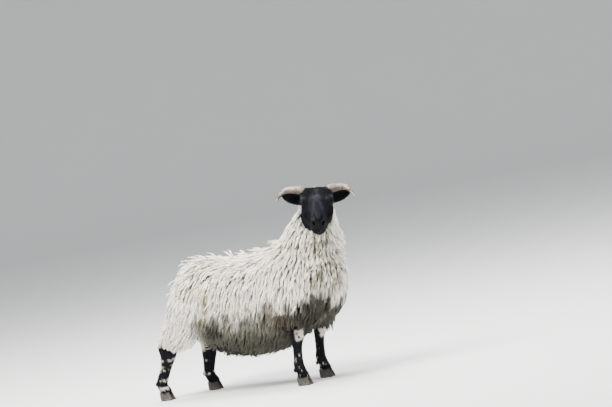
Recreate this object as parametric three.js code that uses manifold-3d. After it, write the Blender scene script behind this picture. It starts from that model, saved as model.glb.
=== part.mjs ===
// A hill ewe in full fleece, life size, standing alert with its head turned to its right.
// Millimetres. +X is the way the body faces, +Y is its left side, +Z is up, the floor is z = 0.
// Every piece is a closed loft: rings of points along a path, each ring at right angles to it.
// The fleece counts as part of the body, so the solids reach to the tips of the locks.
import * as THREE from "three";
import { mergeVertices } from "three/addons/utils/BufferGeometryUtils.js";
import Module from "manifold-3d";

const wasm = await Module();
wasm.setup();

// ---------------------------------------------------------------- driving dimensions

const GAP = 0.4; // clear space between neighbouring pieces
const FRAME_SHIFT = [-46.5, -7.7, 0]; // puts the origin under the middle of the whole animal

const RIGHT = -1; // sign of y on the right side
const LEFT = 1;

// fleece barrel from the rump to the breast: path height, half width, reach up and reach down
const TRUNK = [
  { at: [-392, 0, 462], side: 44, up: 46, down: 50 },
  { at: [-378, 0, 460], side: 88, up: 96, down: 102 },
  { at: [-346, 2, 456], side: 132, up: 150, down: 152 },
  { at: [-285, 4, 450], side: 172, up: 197, down: 196 },
  { at: [-190, 6, 440], side: 199, up: 208, down: 240 },
  { at: [-95, 8, 426], side: 210, up: 208, down: 262 },
  { at: [0, 8, 422], side: 213, up: 210, down: 270 },
  { at: [90, 6, 426], side: 211, up: 215, down: 270 },
  { at: [170, 4, 436], side: 206, up: 219, down: 246 },
  { at: [250, 0, 450], side: 199, up: 221, down: 213 },
  { at: [330, -4, 463], side: 191, up: 200, down: 212 },
  { at: [400, -8, 466], side: 172, up: 166, down: 186 },
  { at: [450, -10, 466], side: 140, up: 126, down: 146 },
  { at: [478, -12, 464], side: 98, up: 82, down: 96 },
  { at: [490, -13, 462], side: 46, up: 36, down: 42 },
];

// neck fleece, from inside the shoulders up to the back of the head; up is the nape
const NECK = [
  { at: [300, 0, 500], side: 150, up: 130, down: 150 },
  { at: [338, 2, 575], side: 156, up: 135, down: 146 },
  { at: [374, 6, 640], side: 145, up: 130, down: 128 },
  { at: [402, 10, 700], side: 130, up: 120, down: 110 },
  { at: [423, 11, 752], side: 114, up: 104, down: 94 },
  { at: [436, 10, 792], side: 92, up: 84, down: 72 },
  { at: [442, 9, 812], side: 62, up: 58, down: 48 },
];

const TAIL = [
  { at: [-338, 0, 590], side: 30, up: 24, down: 24 },
  { at: [-362, 0, 556], side: 40, up: 30, down: 28 },
  { at: [-380, 0, 500], side: 42, up: 29, down: 28 },
  { at: [-390, 0, 440], side: 38, up: 26, down: 26 },
  { at: [-395, 0, 388], side: 27, up: 19, down: 20 },
  { at: [-397, 0, 360], side: 11, up: 9, down: 9 },
];

// legs: y is given for the left side and mirrored for the right; up is the front of the leg
const HOOF_TOP = 40;
const FORE_JOIN = 262; // height where the knee begins and the woolly forearm ends
const HIND_JOIN = 262; // the same above the hock

// woolly shoulders and forearms; the fleece hangs lower outside the left foreleg
const FORE_UPPER = {
  [RIGHT]: [
    { at: [296, 108, 556], side: 52, up: 84, down: 96 },
    { at: [318, 114, 490], side: 74, up: 112, down: 122 },
    { at: [320, 116, 410], side: 82, up: 114, down: 122 },
    { at: [308, 115, 352], side: 79, up: 104, down: 112 },
    { at: [296, 110, 322], side: 66, up: 82, down: 92 },
    { at: [287, 103, 298], side: 40, up: 46, down: 52 },
    { at: [281, 98, 280], side: 30, up: 33, down: 35 },
    { at: [276, 96, FORE_JOIN], side: 28, up: 30, down: 31 },
  ],
  [LEFT]: [
    { at: [300, 108, 556], side: 52, up: 84, down: 96 },
    { at: [326, 114, 490], side: 74, up: 108, down: 122 },
    { at: [328, 118, 410], side: 80, up: 106, down: 122 },
    { at: [318, 120, 352], side: 77, up: 92, down: 112 },
    { at: [308, 120, 316], side: 68, up: 74, down: 86 },
    { at: [302, 124, 282], side: 54, up: 56, down: 58 },
    { at: [298, 132, 248], side: 37, up: 44, down: 42 },
    { at: [294, 138, 218], side: 18, up: 24, down: 20 },
  ],
};
const FORE_LOWER = [
  { at: [275, 95.5, FORE_JOIN - GAP], side: 28, up: 30, down: 31 },
  { at: [270, 95, 232], side: 28, up: 31, down: 30 },
  { at: [266, 95, 206], side: 25, up: 27, down: 32 },
  { at: [262, 95, 172], side: 20, up: 22, down: 28 },
  { at: [257, 95, 136], side: 19, up: 20, down: 25 },
  { at: [252, 95, 104], side: 23, up: 22, down: 28 },
  { at: [256, 95, 78], side: 24, up: 21, down: 27 },
  { at: [264, 95, 56], side: 26, up: 25, down: 27 },
  { at: [264, 95, HOOF_TOP + GAP], side: 27, up: 28, down: 28 },
];
const FORE_STEP = { [RIGHT]: 0, [LEFT]: 9 }; // how far each forefoot stands ahead

// the right hind leg is stretched back, the left one stands further forward
const HIND_UPPER = {
  [RIGHT]: [
    { at: [-262, 96, 556], side: 56, up: 104, down: 58 },
    { at: [-276, 108, 490], side: 84, up: 140, down: 88 },
    { at: [-300, 114, 415], side: 86, up: 140, down: 101 },
    { at: [-346, 112, 350], side: 70, up: 114, down: 84 },
    { at: [-394, 107, 308], side: 50, up: 94, down: 60 },
    { at: [-424, 104, 284], side: 38, up: 76, down: 52 },
    { at: [-440, 102, HIND_JOIN], side: 33, up: 54, down: 50 },
  ],
  [LEFT]: [
    { at: [-258, 96, 556], side: 56, up: 104, down: 62 },
    { at: [-262, 108, 490], side: 84, up: 140, down: 98 },
    { at: [-262, 115, 415], side: 86, up: 138, down: 112 },
    { at: [-278, 113, 350], side: 70, up: 104, down: 98 },
    { at: [-303, 108, 305], side: 50, up: 74, down: 72 },
    { at: [-318, 104, 284], side: 38, up: 58, down: 60 },
    { at: [-326, 102, HIND_JOIN], side: 33, up: 52, down: 56 },
  ],
};
const HIND_LOWER = {
  [RIGHT]: [
    { at: [-441, 101.5, HIND_JOIN - GAP], side: 33, up: 53, down: 49 },
    { at: [-447, 101, 236], side: 31, up: 48, down: 43 },
    { at: [-457, 100, 206], side: 27, up: 42, down: 38 },
    { at: [-471, 99, 172], side: 23, up: 32, down: 31 },
    { at: [-491, 98, 134], side: 22, up: 27, down: 27 },
    { at: [-509, 98, 100], side: 23, up: 26, down: 28 },
    { at: [-519, 98, 76], side: 26, up: 26, down: 29 },
    { at: [-512, 98, 56], side: 26, up: 26, down: 28 },
    { at: [-505, 98, HOOF_TOP + GAP], side: 27, up: 28, down: 28 },
  ],
  [LEFT]: [
    { at: [-327, 101.5, HIND_JOIN - GAP], side: 33, up: 51, down: 55 },
    { at: [-338, 101, 236], side: 31, up: 48, down: 51 },
    { at: [-347, 100, 206], side: 28, up: 42, down: 46 },
    { at: [-353, 99, 172], side: 25, up: 38, down: 42 },
    { at: [-361, 98, 134], side: 23, up: 31, down: 35 },
    { at: [-369, 98, 100], side: 23, up: 27, down: 30 },
    { at: [-372, 98, 76], side: 26, up: 26, down: 29 },
    { at: [-363, 98, 56], side: 26, up: 26, down: 28 },
    { at: [-355, 98, HOOF_TOP + GAP], side: 27, up: 28, down: 28 },
  ],
};

const CLAW = {
  halfWidth: 11.6,
  spread: 13.4, // from the foot's middle to the claw's middle
  sole: 34, // half length at the floor
  top: 27, // half length under the hair
  rake: 9, // how far the wall leans back from the toe
  point: 0.34, // how much narrower the toe is than the heel
};

// ---------------------------------------------------------------- head frame

// The head looks down its own axis: along the face, out to its left, and up from the forehead.
const HEAD = {
  between: [484, -64, 813], // midway between the eyes
  turn: -59, // degrees about z, from the way the body faces
  droop: 43, // degrees of the face below level
  tilt: -6.5, // degrees the head leans to its left
};
const headFrame = new THREE.Matrix4()
  .makeRotationZ(THREE.MathUtils.degToRad(HEAD.turn))
  .multiply(new THREE.Matrix4().makeRotationX(THREE.MathUtils.degToRad(HEAD.tilt)))
  .multiply(new THREE.Matrix4().makeRotationY(THREE.MathUtils.degToRad(HEAD.droop)))
  .setPosition(...HEAD.between);
const headAxis = (x, y, z) => new THREE.Vector3(x, y, z).transformDirection(headFrame);
const inHead = ([along, out, up]) => new THREE.Vector3(along, out, up).applyMatrix4(headFrame);

// skull and jaw: distance along the face, middle of the section, half width, reach up and down
const SKULL = [
  { at: [-99, 0, -14], side: 24, up: 26, down: 24 },
  { at: [-87, 0, -14], side: 49, up: 42, down: 46 },
  { at: [-62, 0, -15], side: 62, up: 51, down: 68 },
  { at: [-30, 0, -16], side: 67, up: 54, down: 82 },
  { at: [0, 0, -22], side: 68, up: 58, down: 86 },
  { at: [28, 0, -34], side: 64, up: 64, down: 72 },
  { at: [56, 0, -42], side: 56, up: 66, down: 52 },
  { at: [84, 0, -38], side: 46, up: 59, down: 42 },
  { at: [102, 0, -31], side: 41, up: 48, down: 40 },
  { at: [117, 0, -27], side: 38, up: 38, down: 39 },
  { at: [129, 0, -28], side: 31, up: 28, down: 32 },
  { at: [137, 0, -29], side: 12, up: 10, down: 12 },
];
// ellipsoids let into the skull: the bony rims over the eyes, the nose wings, the jaws and the horn seats
const BUMPS = [
  { at: [-22, 55, 15], radii: [33, 20, 19] },
  { at: [104, 21, 0], radii: [21, 16, 15] },
  { at: [20, 42, -66], radii: [51, 25, 41] },
  { at: [-56, 46, 14], radii: [30, 28, 25] },
];
const EYE = { at: [-5, 62, 5], radius: 14 };
const EAR = {
  path: [
    [-56, 52, -30],
    [-75, 80, -33],
    [-91, 110, -31],
    [-98, 138, -27],
    [-99, 166, -20],
  ],
  halfWidths: [17, 28, 31, 24, 6],
  cup: [9, 15, 14, 9, 2], // how deep the bowl of the ear is
  thickness: 5,
  opening: [0.73, 0, 0.68], // the way the bowl faces, in the head's own frame
};
const HORN = {
  path: [
    [-50, 30, 14],
    [-76, 69, 20],
    [-90, 95, 12],
    [-94, 123, 10],
    [-83, 145, 12],
    [-62, 160, 16],
    [-37, 171, 19],
    [-13, 178, 23],
  ],
  radii: [24, 22, 19, 16.5, 13, 9.5, 6.5, 3.5],
  reach: { [RIGHT]: 1.03, [LEFT]: 0.97 }, // the right horn is the longer one
  ridges: 9,
  ridgeHeight: 0.05, // as a share of the horn's radius
};

// ---------------------------------------------------------------- lofting

// value at share t of the way through a list, by a smooth curve through its numbers
function through(values, t) {
  const place = t * (values.length - 1);
  const i = Math.min(Math.floor(place), values.length - 2);
  const f = place - i;
  const v = (k) => values[Math.min(Math.max(k, 0), values.length - 1)];
  const slope = (k) => (v(k + 1) - v(k - 1)) / 2;
  const rise = v(i + 1) - v(i);
  return (
    v(i) + f * slope(i) + f * f * (3 * rise - 2 * slope(i) - slope(i + 1)) +
    f * f * f * (slope(i) + slope(i + 1) - 2 * rise)
  );
}

// superellipse point: side to side, and up or down by its own reach
function sectionPoint(angle, { side, up, down, square }) {
  const power = 2 / square;
  const bent = (v) => Math.sign(v) * Math.abs(v) ** power;
  const s = bent(Math.cos(angle));
  const u = bent(Math.sin(angle));
  return [s * side, u * (u > 0 ? up : down)];
}

// closed surface over rings of equal size, turned to face outwards
function skinOver(rings) {
  const count = rings[0].length;
  const middle = (ring) => ring.reduce((a, b) => a.clone().add(b)).divideScalar(count);
  const points = [...rings.flat(), middle(rings[0]), middle(rings.at(-1))];
  const faces = [];
  for (let r = 0; r + 1 < rings.length; r++) {
    for (let k = 0; k < count; k++) {
      const next = (k + 1) % count;
      const [a, b, c, d] = [r * count + k, r * count + next, (r + 1) * count + next, (r + 1) * count + k];
      faces.push([a, b, c], [a, c, d]);
    }
  }
  const last = (rings.length - 1) * count;
  for (let k = 0; k < count; k++) {
    const next = (k + 1) % count;
    faces.push([points.length - 2, next, k], [points.length - 1, last + k, last + next]);
  }
  const volumeUnder = ([a, b, c]) => points[a].dot(points[b].clone().cross(points[c]));
  const volume = faces.reduce((sum, face) => sum + volumeUnder(face), 0);
  if (volume < 0) faces.forEach((face) => face.reverse());
  return new THREE.BufferGeometry()
    .setAttribute("position", new THREE.Float32BufferAttribute(points.flatMap((p) => p.toArray()), 3))
    .setIndex(faces.flat());
}

// rings along a row of sections; lateral is the side direction, grow widens every ring
function loft(rows, { sides, steps, lateral = [0, 1, 0], square = 2.15, grow = 0, place, ripple }) {
  const at = (t) => new THREE.Vector3(...[0, 1, 2].map((k) => through(rows.map((row) => row.at[k]), t)));
  const side = new THREE.Vector3(...lateral);
  const rings = [];
  for (let i = 0; i <= steps; i++) {
    const t = i / steps;
    const centre = at(t);
    const tangent = at(Math.min(t + 0.01, 1)).sub(at(Math.max(t - 0.01, 0))).normalize();
    const out = side.clone().addScaledVector(tangent, -side.dot(tangent)).normalize();
    const up = tangent.clone().cross(out);
    const size = { square };
    for (const key of ["side", "up", "down"]) size[key] = through(rows.map((row) => row[key]), t) + grow;
    if (i === 0) centre.addScaledVector(tangent, -grow);
    if (i === steps) centre.addScaledVector(tangent, grow);
    const ring = [];
    for (let k = 0; k < sides; k++) {
      const angle = (2 * Math.PI * k) / sides;
      const swell = ripple ? 1 + ripple * Math.sin(5 * angle + 9 * t) * Math.sin(Math.PI * t) : 1;
      const [s, u] = sectionPoint(angle, size);
      const point = centre.clone().addScaledVector(out, s * swell).addScaledVector(up, u * swell);
      ring.push(place ? point.applyMatrix4(place) : point);
    }
    rings.push(ring);
  }
  return skinOver(rings);
}

const shifted = (rows, change) => rows.map((row) => ({ ...row, at: change(...row.at) }));
const mirrored = (rows, sign) => shifted(rows, (x, y, z) => [x, y * sign, z]);
const moved = (rows, dx) => shifted(rows, (x, y, z) => [x + dx, y, z]);

function ellipsoid({ at, radii }, grow = 0) {
  const ball = new THREE.SphereGeometry(1, 9, 6);
  ball.scale(...radii.map((r) => r + grow));
  return ball.translate(...at).applyMatrix4(headFrame);
}

// ear: a leaf with a bowl, as a C-shaped section swept out from the head
function ear(sign, grow = 0) {
  const rows = 8;
  const across = 4;
  const path = EAR.path.map(([a, o, u]) => [a, o * sign, u]);
  const at = (t) => new THREE.Vector3(...[0, 1, 2].map((k) => through(path.map((p) => p[k]), t)));
  const rings = [];
  for (let i = 0; i <= rows; i++) {
    const t = i / rows;
    const tangent = at(Math.min(t + 0.01, 1)).sub(at(Math.max(t - 0.01, 0))).normalize();
    const open = new THREE.Vector3(...EAR.opening);
    open.addScaledVector(tangent, -open.dot(tangent)).normalize();
    const wide = tangent.clone().cross(open);
    const half = through(EAR.halfWidths, t) + grow;
    const cup = through(EAR.cup, t);
    const thick = EAR.thickness / 2 + grow;
    const ring = [];
    const put = (share, lift) => {
      const point = at(t).addScaledVector(wide, share * half).addScaledVector(open, lift);
      ring.push(point.applyMatrix4(headFrame));
    };
    for (let k = 0; k <= across; k++) {
      const share = (2 * k) / across - 1;
      put(share, cup * share ** 2 - thick - cup / 2);
    }
    for (let k = across - 1; k > 0; k--) {
      const share = (2 * k) / across - 1;
      put(share * 0.97, cup * share ** 2 + thick - cup / 2);
    }
    rings.push(ring);
  }
  return skinOver(rings);
}

// horn: a tapering tube with rings of growth round it
function horn(sign, grow = 0) {
  const steps = 2 * HORN.ridges;
  const rows = [];
  for (let i = 0; i <= steps; i++) {
    const t = i / steps;
    const ridge = 1 + (i % 2 ? -1 : 1) * HORN.ridgeHeight * (1 - t);
    const radius = through(HORN.radii, t) * ridge;
    const at = [0, 1, 2].map((k) => through(HORN.path.map((p) => p[k]), t));
    const out = at[1] * sign * HORN.reach[sign];
    rows.push({ at: [at[0], out, at[2]], side: radius, up: radius * 0.88, down: radius * 0.88 });
  }
  return loft(rows, { sides: 10, steps, lateral: [1, 0, 0.3], place: headFrame, grow });
}

// one claw of a cloven hoof: flat sole on the floor, pointed toe
function claw(x, y, grow = 0) {
  const levels = [
    { z: 0, half: CLAW.sole - 2 + grow },
    { z: 5, half: CLAW.sole + grow },
    { z: HOOF_TOP + grow, half: CLAW.top + grow },
  ];
  const rings = levels.map(({ z, half }) => {
    const ring = [];
    for (let k = 0; k < 10; k++) {
      const angle = (2 * Math.PI * k) / 10;
      const narrow = 1 - CLAW.point * Math.max(Math.cos(angle), 0);
      ring.push(
        new THREE.Vector3(
          x + half * Math.cos(angle) - (CLAW.rake * z) / HOOF_TOP + 6,
          y + (CLAW.halfWidth + grow) * Math.sin(angle) * narrow,
          z,
        ),
      );
    }
    return ring;
  });
  return skinOver(rings);
}

// ---------------------------------------------------------------- joining and cutting

function solid(geometry) {
  const bare = geometry.clone();
  bare.deleteAttribute("normal");
  bare.deleteAttribute("uv");
  const merged = mergeVertices(bare, 1e-3);
  return new wasm.Manifold(
    new wasm.Mesh({
      numProp: 3,
      vertProperties: new Float32Array(merged.attributes.position.array),
      triVerts: new Uint32Array(merged.index.array),
    }),
  );
}

function geometryOf(made) {
  const { vertProperties, triVerts } = made.getMesh();
  return new THREE.BufferGeometry()
    .setAttribute("position", new THREE.BufferAttribute(vertProperties, 3))
    .setIndex(new THREE.BufferAttribute(triVerts, 1))
    .toNonIndexed();
}

// what is left of a shape once its neighbours are cut away; stray slivers are dropped
function without(shape, ...others) {
  const bodies = others.reduce((rest, other) => rest.subtract(other), shape).decompose();
  return bodies.sort((a, b) => b.volume() - a.volume())[0];
}

const finish = {
  fleece: new THREE.MeshStandardMaterial({ color: 0xe9e4d8, roughness: 0.95, metalness: 0 }),
  face: new THREE.MeshStandardMaterial({ color: 0x1b1a1d, roughness: 0.7, metalness: 0 }),
  leg: new THREE.MeshStandardMaterial({ color: 0x2a2827, roughness: 0.8, metalness: 0 }),
  horn: new THREE.MeshStandardMaterial({ color: 0xc3a98b, roughness: 0.55, metalness: 0 }),
  hoof: new THREE.MeshStandardMaterial({ color: 0x3b342e, roughness: 0.6, metalness: 0 }),
  eye: new THREE.MeshStandardMaterial({ color: 0x4a2d12, roughness: 0.1, metalness: 0 }),
};

const sheep = new THREE.Group();
sheep.position.set(...FRAME_SHIFT);

function add(name, made, material) {
  const geometry = geometryOf(made);
  geometry.computeVertexNormals();
  const mesh = new THREE.Mesh(geometry, material);
  mesh.name = name;
  sheep.add(mesh);
}

// ---------------------------------------------------------------- the animal

const fleeced = { sides: 22, steps: 17, square: 2.3 };
const limb = { sides: 14, steps: 9, square: 2.1 };
const shank = { sides: 10, steps: 12, square: 2 };
const sidesOfBody = [
  ["right", RIGHT],
  ["left", LEFT],
];

const legsGrown = [];
for (const [word, sign] of sidesOfBody) {
  const foreLower = moved(mirrored(FORE_LOWER, sign), FORE_STEP[sign]);
  const legs = [
    ["fore", mirrored(FORE_UPPER[sign], sign), foreLower],
    ["hind", mirrored(HIND_UPPER[sign], sign), mirrored(HIND_LOWER[sign], sign)],
  ];
  for (const [end, upper, lower] of legs) {
    const [x, y] = lower.at(-1).at;
    const clawsGrown = [];
    for (const [which, out] of [["inner", -sign], ["outer", sign]]) {
      add(`hoof_${end}_${word}_${which}`, solid(claw(x, y + out * CLAW.spread)), finish.hoof);
      clawsGrown.push(solid(claw(x, y + out * CLAW.spread, GAP)));
    }
    const lowerGrown = solid(loft(lower, { ...shank, grow: GAP }));
    add(`${end}leg_lower_${word}`, without(solid(loft(lower, shank)), ...clawsGrown), finish.leg);
    const thigh = solid(loft(upper, limb));
    add(`${end}leg_upper_${word}`, without(thigh, lowerGrown), finish.fleece);
    legsGrown.push(thigh.add(solid(loft(upper, { ...limb, grow: GAP }))), lowerGrown);
  }
}

const barrel = loft(TRUNK, fleeced);
const barrelGrown = solid(loft(TRUNK, { ...fleeced, grow: GAP }));
add("trunk", without(solid(barrel), ...legsGrown), finish.fleece);
add("tail", without(solid(loft(TAIL, { sides: 14, steps: 8 })), barrelGrown), finish.fleece);

const skullLoft = { sides: 16, steps: 14, square: 2.15, place: headFrame };
function skull(grow) {
  let made = solid(loft(SKULL, { ...skullLoft, grow }));
  for (const bump of BUMPS) {
    for (const sign of [RIGHT, LEFT]) {
      made = made.add(solid(ellipsoid({ ...bump, at: [bump.at[0], bump.at[1] * sign, bump.at[2]] }, grow)));
    }
  }
  return made;
}

const inTheHead = [];
for (const [word, sign] of sidesOfBody) {
  const at = [EYE.at[0], EYE.at[1] * sign, EYE.at[2]];
  const ball = (grow) => solid(ellipsoid({ at, radii: [EYE.radius, EYE.radius, EYE.radius] }, grow));
  inTheHead.push(ball(GAP));
  add(`eye_${word}`, ball(0), finish.eye);
}
const skullGrown = skull(GAP);
add("head", without(skull(0), ...inTheHead), finish.face);

const aroundHead = [skullGrown];
for (const [word, sign] of sidesOfBody) {
  const hornGrown = solid(horn(sign, GAP));
  add(`horn_${word}`, without(solid(horn(sign)), skullGrown), finish.horn);
  add(`ear_${word}`, without(solid(ear(sign)), skullGrown, hornGrown), finish.face);
  aroundHead.push(hornGrown, solid(ear(sign, GAP)));
}

const neck = solid(loft(NECK, { sides: 20, steps: 9, square: 2.15 }));
add("neck", without(neck, barrelGrown, ...legsGrown, ...aroundHead), finish.fleece);

export default sheep;
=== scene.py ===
import math
import time

import bmesh
import bpy
import numpy as np
from mathutils import Matrix, Vector
from mathutils.bvhtree import BVHTree


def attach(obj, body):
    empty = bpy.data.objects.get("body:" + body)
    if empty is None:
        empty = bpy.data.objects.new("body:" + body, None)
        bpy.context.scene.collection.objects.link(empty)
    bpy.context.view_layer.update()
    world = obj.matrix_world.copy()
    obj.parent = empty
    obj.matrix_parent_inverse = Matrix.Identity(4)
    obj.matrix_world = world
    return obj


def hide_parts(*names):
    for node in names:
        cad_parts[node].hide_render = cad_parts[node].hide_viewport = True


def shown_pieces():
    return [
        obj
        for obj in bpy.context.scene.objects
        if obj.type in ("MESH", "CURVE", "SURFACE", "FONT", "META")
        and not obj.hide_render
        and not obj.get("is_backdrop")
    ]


# A horned hill ewe, life size, in metres. Shapes are worked out in the animal's own coordinates,
# x forward, y to its left and z up, and frameShift moves them to the frame's.

started = time.time()
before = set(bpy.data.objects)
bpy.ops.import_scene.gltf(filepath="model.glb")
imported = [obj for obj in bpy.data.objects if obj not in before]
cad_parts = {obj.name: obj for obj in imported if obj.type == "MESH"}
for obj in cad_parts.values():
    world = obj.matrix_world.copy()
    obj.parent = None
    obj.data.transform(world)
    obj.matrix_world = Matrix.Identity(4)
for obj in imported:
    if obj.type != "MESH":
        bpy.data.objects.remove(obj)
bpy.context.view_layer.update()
rng = np.random.default_rng(7)
frameShift = np.array([-0.0465, -0.0077, 0.0])
right, left = -1, 1
sideNames = {right: "right", left: "left"}


def unit(v):
    return v / np.maximum(np.linalg.norm(v, axis=-1, keepdims=True), 1e-9)


def dot(a, b):
    return (a * b).sum(-1)


def awayFrom(p, place, sizes=(1, 1, 1)):
    # how far each point is from a place
    return np.linalg.norm((p - place) / sizes, axis=1)


def smoothMin(a, b, k):
    h = np.clip(0.5 + 0.5 * (b - a) / k, 0, 1)
    return b + (a - b) * h - k * h * (1 - h)


def smoothMax(a, b, k):
    return -smoothMin(-a, -b, k)


def ramp(x, low, high):
    t = np.clip((x - low) / (high - low), 0, 1)
    return t * t * (3 - 2 * t)


def latticeHash(i, seed):
    n = i[..., 0] * 374761393 + i[..., 1] * 668265263 + i[..., 2] * 1274126177 + seed * 974634777
    n = (n ^ (n >> 13)) * 1103515245
    return ((n ^ (n >> 16)) & 0xFFFF) / 65535.0


def noise(p, size, seed=0):
    q = p / size  # smooth random value from 0 to 1 at each point
    base = np.floor(q).astype(np.int64)
    f = q - base
    f = f * f * (3 - 2 * f)
    total = 0
    for corner in range(8):
        step = np.array([corner & 1, corner >> 1 & 1, corner >> 2 & 1])
        weight = np.prod(np.where(step, f, 1 - f), axis=-1)
        total = total + weight * latticeHash(base + step, seed)
    return total


def rotation(axis, degrees):
    return np.array(Matrix.Rotation(math.radians(degrees), 3, axis))


class Spine:
    # a curved path with a section that changes along it

    def __init__(self, rows, lateral=(0, 1, 0), fine=4):
        rows = np.array(rows, float) / 1000  # rows are written in millimetres
        t = np.linspace(0, len(rows) - 1, (len(rows) - 1) * fine + 1)
        i = np.clip(np.floor(t).astype(int), 0, len(rows) - 2)
        f = (t - i)[:, None]
        before, after = rows[np.maximum(i - 1, 0)], rows[np.minimum(i + 2, len(rows) - 1)]
        a, b = rows[i], rows[i + 1]
        slopeA, slopeB = (b - before) / 2, (after - a) / 2
        self.rows = a + f * slopeA + f**2 * (3 * (b - a) - 2 * slopeA - slopeB) \
            + f**3 * (slopeA + slopeB - 2 * (b - a))
        self.centre = self.rows[:, :3]
        self.tangent = unit(np.gradient(self.centre, axis=0))
        side = np.array(lateral, float)
        self.out = unit(side - dot(self.tangent, side)[:, None] * self.tangent)
        self.up = np.cross(self.tangent, self.out)
        reach = self.rows[:, 3:].max() if rows.shape[1] > 3 else 0.02
        self.low, self.high = self.centre.min(0) - reach, self.centre.max(0) + reach

    def local(self, p):
        # place along the path, offsets out and up from it, overshoot past its ends, and the row there
        start, step = self.centre[:-1], np.diff(self.centre, axis=0)
        lengths = (step**2).sum(-1)
        half = (self.centre**2).sum(-1) / 2
        parts = np.array_split(p, len(p) // 60000 + 1)
        nearest = np.concatenate([(half - part @ self.centre.T).argmin(1) for part in parts])
        best = np.full(len(p), np.inf)
        place = np.zeros(len(p))
        for k in (np.maximum(nearest - 1, 0), np.minimum(nearest, len(start) - 1)):
            gap = p - start[k]
            share = np.clip(dot(gap, step[k]) / lengths[k], 0, 1)
            gap -= share[:, None] * step[k]
            distance = dot(gap, gap)
            nearer = distance < best
            best = np.where(nearer, distance, best)
            place = np.where(nearer, k + share, place)
        i = np.minimum(place.astype(int), len(start) - 1)
        f = (place - i)[:, None]
        row = self.rows[i] * (1 - f) + self.rows[i + 1] * f
        mixed = [unit(v[i] * (1 - f) + v[i + 1] * f) for v in (self.tangent, self.out, self.up)]
        offset = p - row[:, :3]
        past = np.abs(dot(offset, mixed[0]))
        return dot(offset, mixed[1]), dot(offset, mixed[2]), past, row, place / len(start)

    def tube(self, p, square=2.15, depth=0.0, margin=0.06):
        # distance to a superellipse tube; row columns 3 to 5 are side, up and down, 6 the coat
        d = np.linalg.norm(np.maximum(np.maximum(self.low - p, p - self.high), 0), axis=1) + 0.03
        coat = np.full(len(p), 0.03)
        near = d < margin
        s, u, past, row, _ = self.local(p[near])
        coatHere = row[:, 6] if self.rows.shape[1] > 6 else depth
        side = np.maximum(row[:, 3] - coatHere, 0.004)
        reach = np.maximum(np.where(u > 0, row[:, 4], row[:, 5]) - coatHere, 0.004)
        share = (np.abs(s / side) ** square + np.abs(u / reach) ** square) ** (1 / square)
        r = np.hypot(s, u)
        gap = r * (1 - 1 / np.maximum(share, 1e-3))
        gap = np.where(share < 0.05, -np.minimum(side, reach), gap)
        inside = np.maximum(gap, -np.minimum(side, reach)) + past
        d[near] = np.where(gap > 0, np.hypot(gap, past), inside)
        coat[near] = coatHere
        return d, coat


def ellipsoid(p, centre, radii):
    q = (p - np.array(centre)) / np.array(radii)
    r = np.linalg.norm(q, axis=1)
    return r * (r - 1) / np.maximum(np.linalg.norm(q / np.array(radii), axis=1), 1e-6)


# the body: section rows are x, y, z, half width, reach up, reach down, depth of the coat
trunk = Spine([
    [-392, 0, 462, 44, 46, 50, 34],
    [-378, 0, 460, 88, 96, 102, 36],
    [-346, 2, 456, 132, 150, 152, 38],
    [-285, 4, 450, 172, 197, 196, 38],
    [-190, 6, 440, 199, 208, 240, 40],
    [-95, 8, 426, 210, 208, 262, 42],
    [0, 8, 422, 213, 210, 270, 42],
    [90, 6, 426, 211, 215, 270, 42],
    [170, 4, 436, 206, 219, 246, 42],
    [250, 0, 450, 199, 221, 213, 40],
    [330, -4, 463, 191, 200, 212, 38],
    [400, -8, 466, 172, 166, 186, 38],
    [450, -10, 466, 140, 126, 146, 36],
    [478, -12, 464, 98, 82, 96, 34],
    [490, -13, 462, 46, 36, 42, 32],
])
neck = Spine([
    [300, 0, 500, 150, 130, 150, 38],
    [338, 2, 575, 156, 135, 146, 38],
    [374, 6, 640, 145, 130, 128, 36],
    [402, 10, 700, 130, 120, 110, 34],
    [423, 11, 752, 114, 104, 94, 32],
    [436, 10, 792, 92, 84, 72, 28],
    [442, 9, 812, 62, 58, 48, 24],
])
tail = Spine([
    [-330, 0, 590, 30, 24, 24, 12],
    [-358, 0, 556, 40, 30, 28, 22],
    [-376, 0, 500, 42, 29, 28, 22],
    [-387, 0, 440, 38, 26, 26, 20],
    [-391, 0, 400, 27, 19, 20, 14],
    [-393, 0, 384, 14, 11, 11, 7],
])
foreUpper = {
    right: Spine([
        [296, -104, 540, 44, 76, 88, 34],
        [318, -112, 490, 72, 108, 118, 38],
        [320, -114, 410, 80, 112, 120, 38],
        [308, -112, 352, 77, 102, 110, 40],
        [296, -107, 322, 62, 78, 88, 28],
        [287, -103, 300, 42, 48, 54, 9],
        [281, -98, 280, 33, 36, 39, 4],
        [276, -96, 255, 29, 31, 32, 3],
    ]),
    left: Spine([
        [300, 104, 540, 44, 76, 88, 34],
        [326, 112, 490, 72, 104, 118, 38],
        [326, 114, 410, 78, 104, 118, 38],
        [314, 112, 352, 75, 92, 108, 40],
        [303, 108, 318, 62, 72, 84, 30],
        [296, 103, 298, 44, 50, 56, 14],
        [290, 98, 280, 33, 36, 39, 6],
        [285, 96, 255, 29, 31, 32, 3],
    ]),
}
hindUpper = {
    right: Spine([
        [-262, -92, 540, 50, 98, 54, 34],
        [-276, -106, 490, 82, 138, 86, 38],
        [-300, -112, 415, 84, 138, 99, 38],
        [-346, -110, 350, 68, 112, 82, 34],
        [-394, -106, 308, 50, 92, 60, 25],
        [-424, -103, 280, 38, 74, 50, 14],
        [-441, -102, 255, 31, 50, 44, 4],
    ]),
    left: Spine([
        [-258, 92, 540, 50, 98, 58, 34],
        [-262, 106, 490, 82, 138, 96, 38],
        [-262, 113, 415, 84, 136, 110, 38],
        [-278, 111, 350, 68, 102, 92, 34],
        [-303, 106, 305, 50, 72, 70, 26],
        [-320, 103, 276, 38, 54, 58, 16],
        [-332, 101, 250, 32, 48, 50, 6],
    ]),
}
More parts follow.
